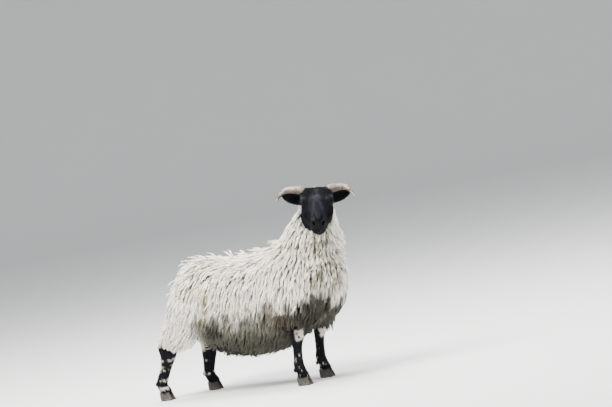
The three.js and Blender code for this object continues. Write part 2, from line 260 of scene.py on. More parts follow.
foreLowerRows = [
    [276, 95.5, 268, 28, 30, 31],
    [270, 95, 236, 27, 31, 28],
    [267, 95, 212, 25, 28, 27],
    [263, 95, 186, 19.5, 22, 26],
    [260, 95, 160, 18, 19.5, 25.5],
    [257, 95, 130, 18.5, 19, 25.5],
    [253, 95, 104, 23, 21, 28],
    [255, 95, 84, 24.5, 21.5, 27.5],
    [262, 95, 62, 24.5, 22.5, 25],
    [264, 95, 46, 27, 27, 28],
    [264, 95, 39, 25, 26, 26],
]
foreStep = {right: 0, left: 9}  # how far each forefoot stands ahead
hindLowerRows = {
    right: [
        [-441, 101.5, 272, 32, 50, 46],
        [-446, 101, 240, 30, 47, 43],
        [-456, 100, 210, 26, 40, 39],
        [-470, 99, 176, 22, 31, 31],
        [-489, 98, 138, 20.5, 26, 27],
        [-508, 98, 104, 22, 25, 28],
        [-518, 98, 82, 25, 25.5, 29],
        [-513, 98, 62, 24.5, 24, 26],
        [-505, 98, 46, 27, 27, 28],
        [-505, 98, 39, 25, 26, 26],
    ],
    left: [
        [-329, 101.5, 272, 32, 49, 52],
        [-338, 101, 240, 30, 47, 50],
        [-346, 100, 210, 27, 41, 45],
        [-352, 99, 176, 24, 36, 41],
        [-360, 98, 138, 22, 30, 34],
        [-368, 98, 104, 22, 26, 30],
        [-371, 98, 82, 25, 25.5, 29],
        [-364, 98, 62, 24.5, 24, 26],
        [-355, 98, 46, 27, 27, 28],
        [-355, 98, 39, 25, 26, 26],
    ],
}


def sided(rows, sign, ahead=0):
    # the same rows for either side, with short hair but for wool at the top of the hind ones
    return [[x + ahead, y * sign, z, *reach, 1.6 + 9 * (x < 0) * (z > 265)] for x, y, z, *reach in rows]


foreLower = {sign: Spine(sided(foreLowerRows, sign, foreStep[sign])) for sign in (right, left)}
hindLower = {sign: Spine(sided(hindLowerRows[sign], sign)) for sign in (right, left)}

# the head has its own axes: along the face, out to its left, up from the forehead
headMiddle = np.array([0.484, -0.064, 0.813])  # midway between the eyes
headAxes = rotation("Z", -59) @ rotation("X", -6.5) @ rotation("Y", 43)
skull = Spine([
    [-97, 0, -14, 22, 24, 22],
    [-85, 0, -14, 47, 40, 44],
    [-62, 0, -15, 60, 49, 66],
    [-30, 0, -16, 65, 52, 80],
    [0, 0, -20, 66, 54, 82],
    [28, 0, -31, 61, 59, 70],
    [56, 0, -39, 51, 61, 51],
    [84, 0, -38, 43, 57, 40],
    [102, 0, -31, 38.5, 46, 38],
    [117, 0, -27, 36, 36, 37],
    [128, 0, -28, 29.5, 27, 30],
    [135, 0, -29, 12, 11, 13],
], fine=4)
eyeRadius = 0.0138
eyeAt = np.array([-0.005, 0.0645, 0.005])
eyeLook = unit(np.array([0.42, 0.84, 0.36]))  # for the left eye
lidLength, lidHeight = 0.0132, 0.0070  # half sizes of the opening
lidThickness = 0.0030
earRows = [
    [-53, 48, -30, 16, 8],
    [-73, 78, -34, 27, 13],
    [-89, 108, -31, 31, 14],
    [-98, 136, -27, 25, 10],
    [-100, 154, -22, 13, 4],
    [-100, 162, -20, 3, 1],
]
ears = {sign: Spine([[a, o * sign, *rest] for a, o, *rest in earRows]) for sign in (right, left)}
earOpening = np.array([0.73, 0, 0.68])
earThickness = 0.0046


def toHead(p):
    return (p - headMiddle) @ headAxes


def fromHead(h):
    return h @ headAxes.T + headMiddle


def folded(h):
    return h * [1, 0, 1] + np.abs(h) * [0, 1, 0]  # the left half stands for both


def eyeFrame(sign):
    look = eyeLook * [1, sign, 1]
    slant = np.array([1.0, 0, 0.32])  # from the outer corner of the eye to the inner one
    length = unit(slant - look * dot(slant, look))
    return eyeAt * [1, sign, 1], look, length, np.cross(length, look) * sign


def earDistance(h, sign, swell=0.0):
    spine = ears[sign]
    _, _, past, row, _ = spine.local(h)
    tangent = unit(np.array([-0.32, 0.94 * sign, 0.08]))
    normal = unit(earOpening - tangent * dot(earOpening, tangent))
    across = np.cross(tangent, normal)
    offset = h - row[:, :3]
    s, w = offset @ across, offset @ normal
    half, cup = row[:, 3], row[:, 4]
    share = np.clip(np.abs(s) / np.maximum(half, 1e-4), 0, 1.15)
    bowl = cup * (share**2 - 0.5)
    thin = np.abs(w - bowl) / np.sqrt(1 + (2 * cup * share / np.maximum(half, 1e-3)) ** 2)
    thick = earThickness / 2 + swell + 0.003 * (1 - share) * ramp(-np.abs(h[:, 1]), -0.09, -0.06)
    rim = np.hypot(np.maximum(np.abs(s) - half + 0.003, 0), past)
    return np.hypot(np.maximum(thin, 0), rim) - thick


def headDistance(p, swell=0.0):
    h = toHead(p)
    d, _ = skull.tube(h, square=2.2, margin=0.1)
    close = d < 0.03
    d[close] = headDetail(h[close], d[close])
    for sign in (right, left):
        close = (h[:, 1] * sign > 0.03) & (h[:, 0] < -0.01) & (h[:, 0] > -0.17)
        close &= np.abs(h[:, 2] + 0.030) < 0.070
        if close.any():
            d[close] = smoothMin(d[close], earDistance(h[close], sign, swell), 0.006)
    return d, h


headSwells = {  # place, half sizes, softness of the join
    "brow": ((-0.023, 0.0555, 0.014), (0.032, 0.019, 0.018), 0.012),
    "cheekbone": ((0.018, 0.0565, -0.022), (0.038, 0.015, 0.014), 0.014),
    "jawMuscle": ((0.010, 0.041, -0.058), (0.048, 0.025, 0.036), 0.016),
    "hornSeat": ((-0.056, 0.045, 0.014), (0.028, 0.026, 0.023), 0.014),
    "noseBridge": ((0.050, 0.0, 0.020), (0.062, 0.020, 0.010), 0.012),
    "noseWing": ((0.099, 0.0205, -0.002), (0.022, 0.0160, 0.0140), 0.011),
    "upperLip": ((0.107, 0.0190, -0.025), (0.022, 0.0210, 0.0150), 0.010),
    "chin": ((0.106, 0.0, -0.057), (0.025, 0.024, 0.018), 0.012),
}
headHollows = {
    "tearHollow": ((0.040, 0.068, 0.003), (0.026, 0.011, 0.010), 0.012),
    "sideOfNose": ((0.072, 0.054, -0.010), (0.032, 0.013, 0.015), 0.014),
}
nostril = {"place": (0.1175, 0.0205, 0.0005), "radii": (0.015, 0.0050, 0.0078), "tilt": -38}
mouthLine = {"height": -0.0395, "halfGap": 0.0011, "depth": 0.005, "corner": 0.079}


def headDetail(h, d):
    m = folded(h)
    for place, radii, soft in headSwells.values():
        d = smoothMin(d, ellipsoid(m, place, radii), soft)
    for place, radii, soft in headHollows.values():
        d = smoothMax(d, -ellipsoid(m, place, radii), soft)
    tilted = (m - nostril["place"]) @ rotation("X", nostril["tilt"])
    d = smoothMax(d, -ellipsoid(tilted, (0, 0, 0), nostril["radii"]), 0.003)
    groove = np.maximum(m[:, 1] - 0.0013, -d - 0.0035)  # from the nose down to the lip
    ends = np.maximum(m[:, 2] + 0.006, -0.032 - m[:, 2])
    groove = np.maximum(groove, np.maximum(0.106 - m[:, 0], ends))
    d = smoothMax(d, -groove, 0.003)
    lips = mouthLine["height"] + 0.006 * ramp(m[:, 0], 0.115, 0.083) + 0.003 * ramp(m[:, 1], 0.0, 0.02)
    mouth = np.maximum(np.abs(m[:, 2] - lips) - mouthLine["halfGap"], -d - mouthLine["depth"])
    d = smoothMax(d, -np.maximum(mouth, mouthLine["corner"] - m[:, 0]), 0.0032)
    centre, look, length, height = eyeFrame(left)
    q = m - centre
    r = np.linalg.norm(q, axis=1)
    along, rise, front = q @ length, q @ height, q @ look
    d = smoothMin(d, r - eyeRadius - lidThickness, 0.007)  # the lids hold the eyeball
    fold = np.abs(np.hypot(along * 0.72, rise - 0.002) - 0.0152) - 0.0007  # over the upper lid
    fold = np.maximum(fold, np.maximum(-d - 0.0022, np.maximum(0.004 - front, -rise)))
    d = smoothMax(d, -fold, 0.002)
    narrow = lidHeight * np.maximum(1 - (along / lidLength) ** 2, -3)
    slit = np.maximum((np.abs(rise) - narrow) * 0.75, 0.003 - front)
    d = smoothMax(d, -slit, 0.0012)
    d = smoothMax(d, -(r - eyeRadius + 0.0002), 0.0006)
    return d


def legDetail(p, d):
    # kneecaps, points of the hock and dew claws
    for sign in (right, left):
        knee = np.array([0.281 + 0.001 * foreStep[sign], 0.095 * sign, 0.228])
        d = smoothMin(d, ellipsoid(p, knee, (0.017, 0.020, 0.020)), 0.012)
        hock = ({right: -0.484, left: -0.378}[sign], 0.100 * sign, 0.246)
        d = smoothMin(d, ellipsoid(p, hock, (0.014, 0.013, 0.028)), 0.014)
        for foot in (foreLower[sign].rows[-12, :3], hindLower[sign].rows[-14, :3]):
            for out in (-1, 1):
                dewClaw = foot + [-0.025, 0.011 * out, -0.004]
                d = smoothMin(d, ellipsoid(p, dewClaw, (0.008, 0.0055, 0.009)), 0.003)
    return d


faceEdge = {"up": [-0.110, -0.083, -0.056, -0.015, 0.023, 0.050],  # where short hair gives way to wool
            "along": [-0.010, -0.025, -0.045, -0.060, -0.104, -0.122]}
shortCoat = 0.0016


def bodyField(p, swell=0.0, coatToo=False):
    # distance to the skin, and the depth of coat there
    near = awayFrom(p, headMiddle) < 0.23
    d, coat = trunk.tube(p, square=2.3)
    parts = [(neck, 2.15, 0.030), (tail, 2.1, 0.012)]
    for sign in (right, left):
        parts += [(foreUpper[sign], 2.1, 0.020), (hindUpper[sign], 2.1, 0.026)]
        parts += [(foreLower[sign], 2.0, 0.006), (hindLower[sign], 2.0, 0.006)]
    for spine, square, blend in parts:
        other, otherCoat = spine.tube(p, square=square)
        if coatToo:
            coat = np.where(other < d, otherCoat, coat)
        d = smoothMin(d, other, blend)
    low = np.flatnonzero(p[:, 2] < 0.30)
    d[low] = legDetail(p[low], d[low])
    if near.any():
        head, h = headDistance(p[near], swell)
        edge = np.interp(h[:, 2], faceEdge["up"], faceEdge["along"])
        face = ramp(h[:, 0] - edge, -0.004, 0.008) * (head < d[near] + 0.02)
        if coatToo:
            for sign in (right, left):
                face = np.maximum(face, earDistance(h, sign) < 0.012)
            coat[near] = coat[near] * (1 - face) + shortCoat * face
        d[near] = smoothMin(d[near], head, 0.010)
    return (d, coat) if coatToo else d


def gradient(p, step=0.0006, swell=0.0):
    corners = np.array([[1, -1, -1], [-1, -1, 1], [-1, 1, -1], [1, 1, 1]], float)
    return unit(sum(bodyField(p + step * c, swell)[:, None] * c for c in corners))


def settle(piece, rounds, swell=0.0, limit=0.004):
    # moves the vertices along their normals onto the skin
    for _ in range(rounds):
        p, way = pointsOf(piece), normalsOf(piece)
        d = np.clip(bodyField(p, swell), -limit, limit)
        far = np.abs(d) > 0.0004
        way[far] = gradient(p[far], swell=swell)
        place(piece, p - way * d[:, None])


def added(name, data):
    made = bpy.data.objects.new(name, data)
    bpy.context.scene.collection.objects.link(made)
    return made


def meshOf(name, points, faces):
    # faces is an array of triangles or quads
    mesh = bpy.data.meshes.new(name)
    mesh.vertices.add(len(points))
    mesh.vertices.foreach_set("co", (points + frameShift).astype(np.float32).ravel())
    mesh.loops.add(faces.size)
    mesh.loops.foreach_set("vertex_index", faces.astype(np.int32).ravel())
    mesh.polygons.add(len(faces))
    mesh.polygons.foreach_set("loop_start", np.arange(0, faces.size, faces.shape[1], dtype=np.int32))
    mesh.update(calc_edges=True)
    mesh.validate()
    mesh.shade_smooth()
    return added(name, mesh)


def paint(piece, **layers):
    # one value or colour for each vertex, read by the materials
    for name, values in layers.items():
        colour = values.ndim == 2
        layer = piece.data.attributes.new(name, "FLOAT_COLOR" if colour else "FLOAT", "POINT")
        if colour:
            values = np.concatenate([values, np.ones((len(values), 1))], axis=1)
        layer.data.foreach_set("color" if colour else "value", values.astype(np.float32).ravel())


def corners(piece):
    flat = np.zeros(len(piece.data.loops), np.int32)
    piece.data.loops.foreach_get("vertex_index", flat)
    return flat


def unwrap(piece, uv):
    layer = piece.data.uv_layers.new(name="OFBake")
    layer.data.foreach_set("uv", uv[corners(piece)].astype(np.float32).ravel())


def surfaceNet(low, high, cell, field):
    # quads round the zero of the field, worked out only in blocks near it
    block = 4
    shape = (np.ceil((high - low) / cell / block).astype(int) + 1) * block
    coarse = np.stack(np.meshgrid(*[np.arange(0, n + 1, block) for n in shape], indexing="ij"), -1)
    rough = field(low + coarse.reshape(-1, 3) * cell).reshape(coarse.shape[:3])
    close = np.abs(rough) < cell * block * 1.3
    live = np.zeros(tuple(n // block for n in shape), bool)
    for corner in np.ndindex(2, 2, 2):
        live |= close[tuple(slice(c, c + n) for c, n in zip(corner, live.shape))]
    sign = np.where(rough[:-1, :-1, :-1] < 0, -1.0, 1.0)
    values = np.ones(tuple(shape + 1))
    values[:-1, :-1, :-1] = sign.repeat(block, 0).repeat(block, 1).repeat(block, 2)
    wanted = np.zeros(tuple(shape + 1), bool)
    for i, j, k in np.argwhere(live) * block:
        wanted[i:i + block + 1, j:j + block + 1, k:k + block + 1] = True
    index = np.argwhere(wanted)
    values[wanted] = np.concatenate([field(low + part * cell) for part in np.array_split(index, 8)])
    inside = values < 0
    n = np.array(values.shape)
    crossing = np.zeros(tuple(n - 1) + (3,))
    count = np.zeros(tuple(n - 1))
    for axis in range(3):
        others = [a for a in range(3) if a != axis]
        for p in (0, 1):
            for q in (0, 1):
                cut = [slice(None)] * 3
                cut[axis] = slice(0, -1)
                cut[others[0]] = slice(p, n[others[0]] - 1 + p)
                cut[others[1]] = slice(q, n[others[1]] - 1 + q)
                end = list(cut)
                end[axis] = slice(1, None)
                a, b = values[tuple(cut)], values[tuple(end)]
                mixed = (a < 0) != (b < 0)
                share = np.where(mixed, a / np.where(mixed, a - b, 1), 0)
                crossing[..., axis] += share
                crossing[..., others[0]] += mixed * p
                crossing[..., others[1]] += mixed * q
                count += mixed
    cells = np.argwhere(count > 0)
    number = np.full(count.shape, -1)
    number[count > 0] = np.arange(len(cells))
    points = low + (cells + crossing[count > 0] / count[count > 0][:, None]) * cell
    quads = []
    for axis in range(3):
        b, c = (axis + 1) % 3, (axis + 2) % 3
        start = [slice(1, m - 1) for m in n]
        start[axis] = slice(0, n[axis] - 1)
        end = list(start)
        end[axis] = slice(1, n[axis])
        first, second = inside[tuple(start)], inside[tuple(end)]
        edges = np.argwhere(first != second)
        offset = np.ones(3, int)
        offset[axis] = 0
        edges = edges + offset
        ring = []
        for db, dc in ((-1, -1), (0, -1), (0, 0), (-1, 0)):
            at = edges.copy()
            at[:, b] += db
            at[:, c] += dc
            ring.append(number[tuple(at.T)])
        ring = np.stack(ring, 1)
        turned = ~first[first != second]
        ring[turned] = ring[turned][:, ::-1]
        quads.append(ring)
    return points, np.concatenate(quads)


def refined(piece, chosen):
    # splits the faces whose middle is in the chosen places, once
    net = bmesh.new()
    net.from_mesh(piece.data)
    middles = np.array([f.calc_center_median() for f in net.faces]) - frameShift
    picked = chosen(middles)
    edges = {edge for face, yes in zip(net.faces, picked) if yes for edge in face.edges}
    bmesh.ops.subdivide_edges(net, edges=list(edges), cuts=1, use_grid_fill=True)
    net.to_mesh(piece.data)
    net.free()


def pointsOf(piece):
    flat = np.zeros(len(piece.data.vertices) * 3, np.float32)
    piece.data.vertices.foreach_get("co", flat)
    return flat.reshape(-1, 3).astype(float) - frameShift


def normalsOf(piece):
    flat = np.zeros(len(piece.data.vertices) * 3, np.float32)
    piece.data.vertices.foreach_get("normal", flat)
    return flat.reshape(-1, 3).astype(float)


def place(piece, points):
    piece.data.vertices.foreach_set("co", (points + frameShift).astype(np.float32).ravel())
    piece.data.update()


def relax(points, edges, share=0.5):
    total, count = np.zeros_like(points), np.zeros(len(points))
    for a, b in ((0, 1), (1, 0)):
        np.add.at(total, edges[:, a], points[edges[:, b]])
        np.add.at(count, edges[:, a], 1)
    return points + share * (total / np.maximum(count, 1)[:, None] - points)


def edgesOf(piece):
    flat = np.zeros(len(piece.data.edges) * 2, np.int32)
    piece.data.edges.foreach_get("vertices", flat)
    return flat.reshape(-1, 2)


def nearHead(p):
    h = toHead(p)
    beside = (np.abs(h[:, 1]) < 0.082) & (np.abs(h[:, 2] + 0.026) < 0.075)
    return beside & (h[:, 0] > -0.06) & (h[:, 0] < 0.15)


def nearEars(p):
    h = toHead(p)
    return (earDistance(h, right) < 0.012) | (earDistance(h, left) < 0.012)


def nearEyes(p):
    h = np.abs(toHead(p) - eyeAt * [1, 0, 1])
    return awayFrom(h, [0.003, eyeAt[1] + 0.007, 0]) < 0.0195


def nearMuzzle(p):
    h = toHead(p)
    return (h[:, 0] > 0.094) & (np.abs(h[:, 1]) < 0.05) & (np.abs(h[:, 2] + 0.025) < 0.05)


def nearFeet(p):
    return p[:, 2] < 0.115


# the skin: a coarse net over the whole body, then finer where the form is small
# the ears are thicker while the net is coarse, so that no hole opens in them
skinNet = {"cell": 0.0078, "low": (-0.62, -0.24, 0.018), "high": (0.66, 0.26, 0.93), "earSwell": 0.0028}
points, quads = surfaceNet(np.array(skinNet["low"]), np.array(skinNet["high"]), skinNet["cell"],
                           lambda p: bodyField(p, skinNet["earSwell"]))
skin = meshOf("skin", points, quads)
print("skin net", len(points), time.time() - started)
finer = {"limbs": lambda p: nearHead(p) | nearEars(p) | nearFeet(p), "head": nearHead,
         "lids": lambda p: nearEyes(p) | nearMuzzle(p)}
for word, chosen in finer.items():
    refined(skin, chosen)
    for share in (0.5, 0.3):
        place(skin, relax(pointsOf(skin), edgesOf(skin), share))
        settle(skin, 2, skinNet["earSwell"] if word == "limbs" else 0.0)
    settle(skin, 2)
    print("skin,", word, len(skin.data.vertices), time.time() - started)


class Wire:
    # an output socket that can be added, multiplied and so on in an expression

    def __init__(self, shader, socket):
        self.shader, self.socket = shader, socket

    def joined(self, other, operation, swapped=False):
        a, b = (other, self) if swapped else (self, other)
        if self.socket.type == "RGBA":
            a, b = ((v, v, v, 1) if isinstance(v, (int, float)) else v for v in (a, b))
            settings = {"data_type": "RGBA", "blend_type": operation}
            return self.shader.node("ShaderNodeMix", settings, {0: 1.0, 6: a, 7: b}, 2)
        if self.socket.type == "VECTOR":
            a, b = ((v, v, v) if isinstance(v, (int, float)) else v for v in (a, b))
            return self.shader.node("ShaderNodeVectorMath", {"operation": operation}, {0: a, 1: b})
        return self.shader.node("ShaderNodeMath", {"operation": operation}, {0: a, 1: b})

    def __add__(self, other):
        return self.joined(other, "ADD")

    def __sub__(self, other):
        return self.joined(other, "SUBTRACT")

    def __mul__(self, other):
        return self.joined(other, "MULTIPLY")

    def __pow__(self, other):
        return self.joined(other, "POWER")

    def __radd__(self, other):
        return self.joined(other, "ADD", True)

    def __rsub__(self, other):
        return self.joined(other, "SUBTRACT", True)

    def __rmul__(self, other):
        return self.joined(other, "MULTIPLY", True)


class Shader:
    def __init__(self, name, **constants):
        self.material = bpy.data.materials.new(name)
        self.material.use_nodes = True
        self.tree = self.material.node_tree
        self.surface = self.tree.nodes["Principled BSDF"]
        for key, value in constants.items():
            self.surface.inputs[key.replace("_", " ")].default_value = value

    def node(self, kind, settings, sockets, output=0):
        made = self.tree.nodes.new(kind)
        for key, value in settings.items():
            if key == "stops":
                elements = made.color_ramp.elements
                while len(elements) < len(value):
                    elements.new(0.5)
                for element, (at, shade) in zip(elements, value):
                    element.position = at
                    element.color = (*shade, 1)
            else:
                setattr(made, key, value)
        for key, value in sockets.items():
            if isinstance(value, Wire):
                self.tree.links.new(value.socket, made.inputs[key])
            else:
                made.inputs[key].default_value = value
        return Wire(self, made.outputs[output])

    def attribute(self, name, output="Fac"):
        return self.node("ShaderNodeAttribute", {"attribute_name": name}, {}, output)

    def place(self, stretch=(1, 1, 1)):
        at = self.node("ShaderNodeTexCoord", {}, {}, "Object")
        return at * stretch if tuple(stretch) != (1, 1, 1) else at

    def noise(self, scale, detail=3.0, roughness=0.55, stretch=(1, 1, 1), at=None):
        at = at or self.place(stretch)
        return self.node("ShaderNodeTexNoise", {}, {"Vector": at, "Scale": scale, "Detail": detail,
                                                    "Roughness": roughness}, "Fac")

    def ramp(self, value, *stops):
        return self.node("ShaderNodeValToRGB", {"stops": stops}, {"Fac": value}, "Color")

    def between(self, value, low, high):
        # 0 below low and 1 above high
        return self.node("ShaderNodeMapRange", {"interpolation_type": "SMOOTHSTEP"},
                         {"Value": value, "From Min": low, "From Max": high})

    def mix(self, share, a, b):
        return self.node("ShaderNodeMix", {"data_type": "RGBA"}, {0: share, 6: a, 7: b}, 2)

    def bump(self, height, strength, distance):
        sockets = {"Height": height, "Strength": strength, "Distance": distance}
        return self.node("ShaderNodeBump", {}, sockets)

    def drive(self, **links):
        for key, wire in links.items():
            self.tree.links.new(wire.socket, self.surface.inputs[key.replace("_", " ")])
        return self.material


# markings, the same on the skin and on the coat, with some painted shade and painted sheen among them

cream = np.array([0.92, 0.88, 0.79])
blackHair = np.array([0.0029, 0.0032, 0.0053])
whiteHair = np.array([0.66, 0.62, 0.54])
# the belly tints are dirty wool with painted shade, the elbow and brisket tints are painted shade, and
# the bridge and brow tints are painted sheen on the face hair
tints = {"yellowed": (0.66, 0.58, 0.43), "bellyDirtAndShade": (0.102, 0.097, 0.070),
         "deepBellyDirtAndShade": (0.046, 0.046, 0.033), "chest": (0.19, 0.155, 0.085),
         "elbowShade": (0.052, 0.042, 0.032), "brisketShade": (0.030, 0.029, 0.021),
         "speck": (0.035, 0.027, 0.02), "bridgeSheen": (0.026, 0.029, 0.040),
         "brow": (0.030, 0.034, 0.046), "lips": (0.0022, 0.0022, 0.0028)}
stainsAndShade = [  # place, reach, colour, share; most are real stains, and some are painted shade
    ((-0.131, -0.194, 0.471), 0.022, (0.27, 0.22, 0.07), 0.75),
    ((-0.138, -0.196, 0.440), 0.021, (0.24, 0.20, 0.06), 0.90),
    ((-0.145, -0.196, 0.405), 0.023, (0.25, 0.21, 0.07), 0.90),
    ((-0.173, -0.188, 0.355), 0.026, (0.22, 0.19, 0.08), 0.85),
    # painted shade in the hollow between the right thigh and the belly
    ((-0.137, -0.180, 0.300), 0.060, (0.030, 0.029, 0.022), 0.95),
    ((-0.200, -0.125, 0.605), 0.055, (0.60, 0.50, 0.34), 0.40),
    ((-0.193, -0.177, 0.520), 0.050, (0.60, 0.50, 0.34), 0.38),
    ((-0.120, 0.190, 0.430), 0.045, (0.58, 0.49, 0.31), 0.35),
    ((-0.370, 0.000, 0.420), 0.080, (0.52, 0.44, 0.29), 0.45),
    # painted shade in the gaps behind the elbows, on both sides
    ((0.195, -0.197, 0.385), 0.034, (0.13, 0.12, 0.08), 0.80),
    ((0.185, -0.185, 0.330), 0.050, (0.10, 0.09, 0.06), 0.80),
    ((0.190, 0.197, 0.365), 0.040, (0.20, 0.17, 0.11), 0.60),
]
speckSize = 0.0125
specks = [(0.289, -0.122, 0.649), (0.505, 0.041, 0.695), (0.485, 0.024, 0.579), (0.496, -0.016, 0.500),
          (-0.077, -0.202, 0.414), (0.120, 0.190, 0.560), (-0.220, 0.150, 0.500), (0.380, 0.170, 0.500)]


def tinted(colour, tint, share):
    return colour + (np.array(tint) - colour) * np.asarray(share)[:, None]


def fleeceMarkings(p, broad, fine, tiny):
    x, y, z = p.T
    side = np.abs(y)
    fleece = cream * (0.90 + 0.13 * broad + 0.09 * (fine - 0.5))[:, None]
    fleece = tinted(fleece, tints["yellowed"], 0.42 * ramp(broad + 0.5 * fine, 0.75, 1.2))
    streak = noise(p * [1, 1, 0.22], 0.013, 5)
    # dirty grey-olive wool low on the body, darkened further by painted shade, most towards the bottom
    lowDirtAndShade = ramp(z + 0.13 * (streak - 0.5) + 0.04 * (fine - 0.5), 0.395, 0.325) * ramp(x, -0.31, -0.20)
    fleece = tinted(fleece, tints["bellyDirtAndShade"], (0.88 + 0.11 * streak) * lowDirtAndShade)
    fleece = tinted(fleece, tints["deepBellyDirtAndShade"], 0.9 * lowDirtAndShade * ramp(z, 0.30, 0.23))
    chest = ramp(x, 0.37, 0.43) * ramp(np.abs(y + 0.100), 0.11, 0.05)
    chest = chest * ramp(z, 0.36, 0.46) * ramp(z, 0.77, 0.72)
    fleece = tinted(fleece, tints["chest"], 0.92 * chest * ramp(0.6 * tiny + 0.4 * fine, 0.44, 0.60))
    # painted shade low behind the forelegs, on the right side and the middle
    elbowShade = awayFrom(p, [0.262, 0, 0.300], [0.10, 0.50, 0.050]) + 0.3 * (fine - 0.5)
    fleece = tinted(fleece, tints["elbowShade"], 0.95 * ramp(elbowShade, 1.05, 0.72) * ramp(y, 0.13, 0.10))
    # painted shade in the gap between the forelegs, reaching out beside the right foreleg
    brisketShade = ramp(x, 0.29, 0.34) * ramp(z + 0.03 * (fine - 0.5) + 0.05 * (streak - 0.5), 0.425, 0.375)
    besideLeg = ramp(np.abs(y + 0.127 + 0.02 * (fine - 0.5)), 0.066, 0.046)
    brisketShade = brisketShade * np.maximum(besideLeg, 0.9 * ramp(side, 0.09, 0.05) * ramp(z, 0.36, 0.31))
    fleece = tinted(fleece, tints["brisketShade"], (0.93 + 0.06 * tiny) * brisketShade)
    for place, reach, colour, share in stainsAndShade:
        gap = awayFrom(p, place) + 0.3 * reach * (fine - 0.5)
        fleece = tinted(fleece, colour, share * ramp(gap, reach * 1.35, reach * 0.35))
    for place in specks:
        fleece = tinted(fleece, tints["speck"], 0.9 * (awayFrom(p, place) < speckSize))
    return fleece


kneePatches = {right: {"middle": 0.241, "reach": 0.027, "faces": (0.82, 0.57)},
               left: {"middle": 0.214, "reach": 0.027, "faces": (0.96, -0.28)}}
darkInPatches = [(0.286, -0.122, 0.247), (0.292, -0.116, 0.228), (0.309, 0.090, 0.205)]
hindBands = {  # height, half width and strength of each, and how broken they are
    right: ([(0.164, 0.0065, 1.0), (0.144, 0.006, 0.9), (0.102, 0.008, 1.0), (0.066, 0.010, 0.8),
             (0.196, 0.006, 0.6)], (0.55, 0.72)),
    left: ([(0.150, 0.007, 1.0), (0.088, 0.009, 1.0)], (0.74, 0.86)),
}


def whiteOnLegs(p, fine, tiny):
    x, y, z = p.T
    fore = x > 0.0
    white = np.zeros(len(p))
    for sign, patch in kneePatches.items():
        axis = np.array([0.270 + foreStep[sign] / 1000, 0.095 * sign])
        facing = unit(p[:, :2] - axis) @ (np.array(patch["faces"]) * [1, sign])
        knee = ramp(facing + 0.35 * (tiny - 0.5), 0.62, 0.78) * (y * sign > 0) * fore
        gap = np.abs(z - patch["middle"]) + 0.02 * (fine - 0.5)
        white = np.maximum(white, knee * ramp(gap, patch["reach"], patch["reach"] - 0.005))
    for spot in darkInPatches:
        white = white * (awayFrom(p, spot) > 0.0075)
    shin = fore * ramp(tiny + 0.4 * fine, 0.98, 1.05) * ramp(z, 0.17, 0.14)
    white = np.maximum(white, 0.85 * shin)
    for sign, (bands, broken) in hindBands.items():
        cover = ramp(tiny + 0.4 * fine, *broken) * ~fore * (y * sign > 0)
        for middle, reach, amount in bands:
            band = ramp(np.abs(z - middle + 0.022 * (fine - 0.5)), reach, reach * 0.5)
            white = np.maximum(white, amount * band * cover)
    hock = ~fore * (y > 0) * ramp(z, 0.188, 0.205) * ramp(x + 0.02 * (fine - 0.5), -0.352, -0.366)
    return np.maximum(white, hock * 0.95)


def hairMarkings(p, fine, tiny):
    hair = blackHair * (0.85 + 0.5 * fine)[:, None]
    h = toHead(p)
    face = ramp(awayFrom(p, headMiddle), 0.22, 0.20)
    # painted sheen on the black face hair: paler bands down both sides of the nose bridge, a paler patch
    # round the forehead whorl, and a painted highlight along each brow
    apart = 0.012 + 0.20 * np.maximum(h[:, 0], 0)  # painted sheen on both sides of the bridge
    bridgeSheen = ramp(np.abs(np.abs(h[:, 1]) - apart), 0.013, 0.001) * ramp(h[:, 2], -0.015, 0.005)
    bridgeSheen = bridgeSheen * ramp(h[:, 0], -0.004, 0.02) * ramp(h[:, 0], 0.095, 0.070) * face
    whorlSheen = ramp(awayFrom(h, [-0.010, 0, 0.036]), 0.034, 0.004) * face
    hair = tinted(hair, tints["bridgeSheen"], (0.3 + 0.6 * tiny) * np.maximum(bridgeSheen, whorlSheen))
    browSheen = ramp(awayFrom(folded(h), [-0.026, 0.066, 0.018]), 0.020, 0.006) * face
    hair = tinted(hair, tints["brow"], 0.8 * browSheen)
    hair = tinted(hair, tints["lips"], 0.9 * ramp(h[:, 0], 0.107, 0.119) * face)
    return tinted(hair, whiteHair, np.clip(whiteOnLegs(p, fine, tiny), 0, 1) * (1 - face))


def markings(p, wool):
    # colour at each point; wool is 1 in the fleece and 0 on short hair
    broad, fine, tiny = noise(p, 0.07, 1), noise(p, 0.022, 2), noise(p, 0.009, 3)
    fleece, hair = fleeceMarkings(p, broad, fine, tiny), hairMarkings(p, fine, tiny)
    return hair + (fleece - hair) * np.asarray(wool)[:, None]


def skinMaterial():
    shader = Shader("skinHair", Roughness=0.55, Specular_IOR_Level=0.08)
    fine = shader.noise(1100, 2, 0.6)
    broad = shader.noise(160, 3)
    colour = shader.attribute("coatColour", "Color") * (0.78 + 0.44 * fine)
    return shader.drive(Base_Color=colour, Normal=shader.bump(fine + 1.4 * broad, 0.5, 0.0012))


skinPoints, skinNormals = pointsOf(skin), normalsOf(skin)
_, skinCoat = bodyField(skinPoints, coatToo=True)
woolShare = ramp(skinCoat, 0.005, 0.011)
# painted shade: the skin is 30% darker where the fleece covers it
paint(skin, coatColour=markings(skinPoints, woolShare) * (1 - 0.3 * woolShare)[:, None])
skin.data.materials.append(skinMaterial())
fleshNodes = [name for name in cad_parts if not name.startswith(("eye", "horn", "hoof"))]
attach(skin, "root")
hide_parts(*fleshNodes)

# what the coat grows from
skin.data.calc_loop_triangles()
flat = np.zeros(len(skin.data.loop_triangles) * 3, np.int32)
skin.data.loop_triangles.foreach_get("vertices", flat)
skinTriangles = flat.reshape(-1, 3)
skinTree = BVHTree.FromPolygons(skinPoints.tolist(), skinTriangles.tolist())


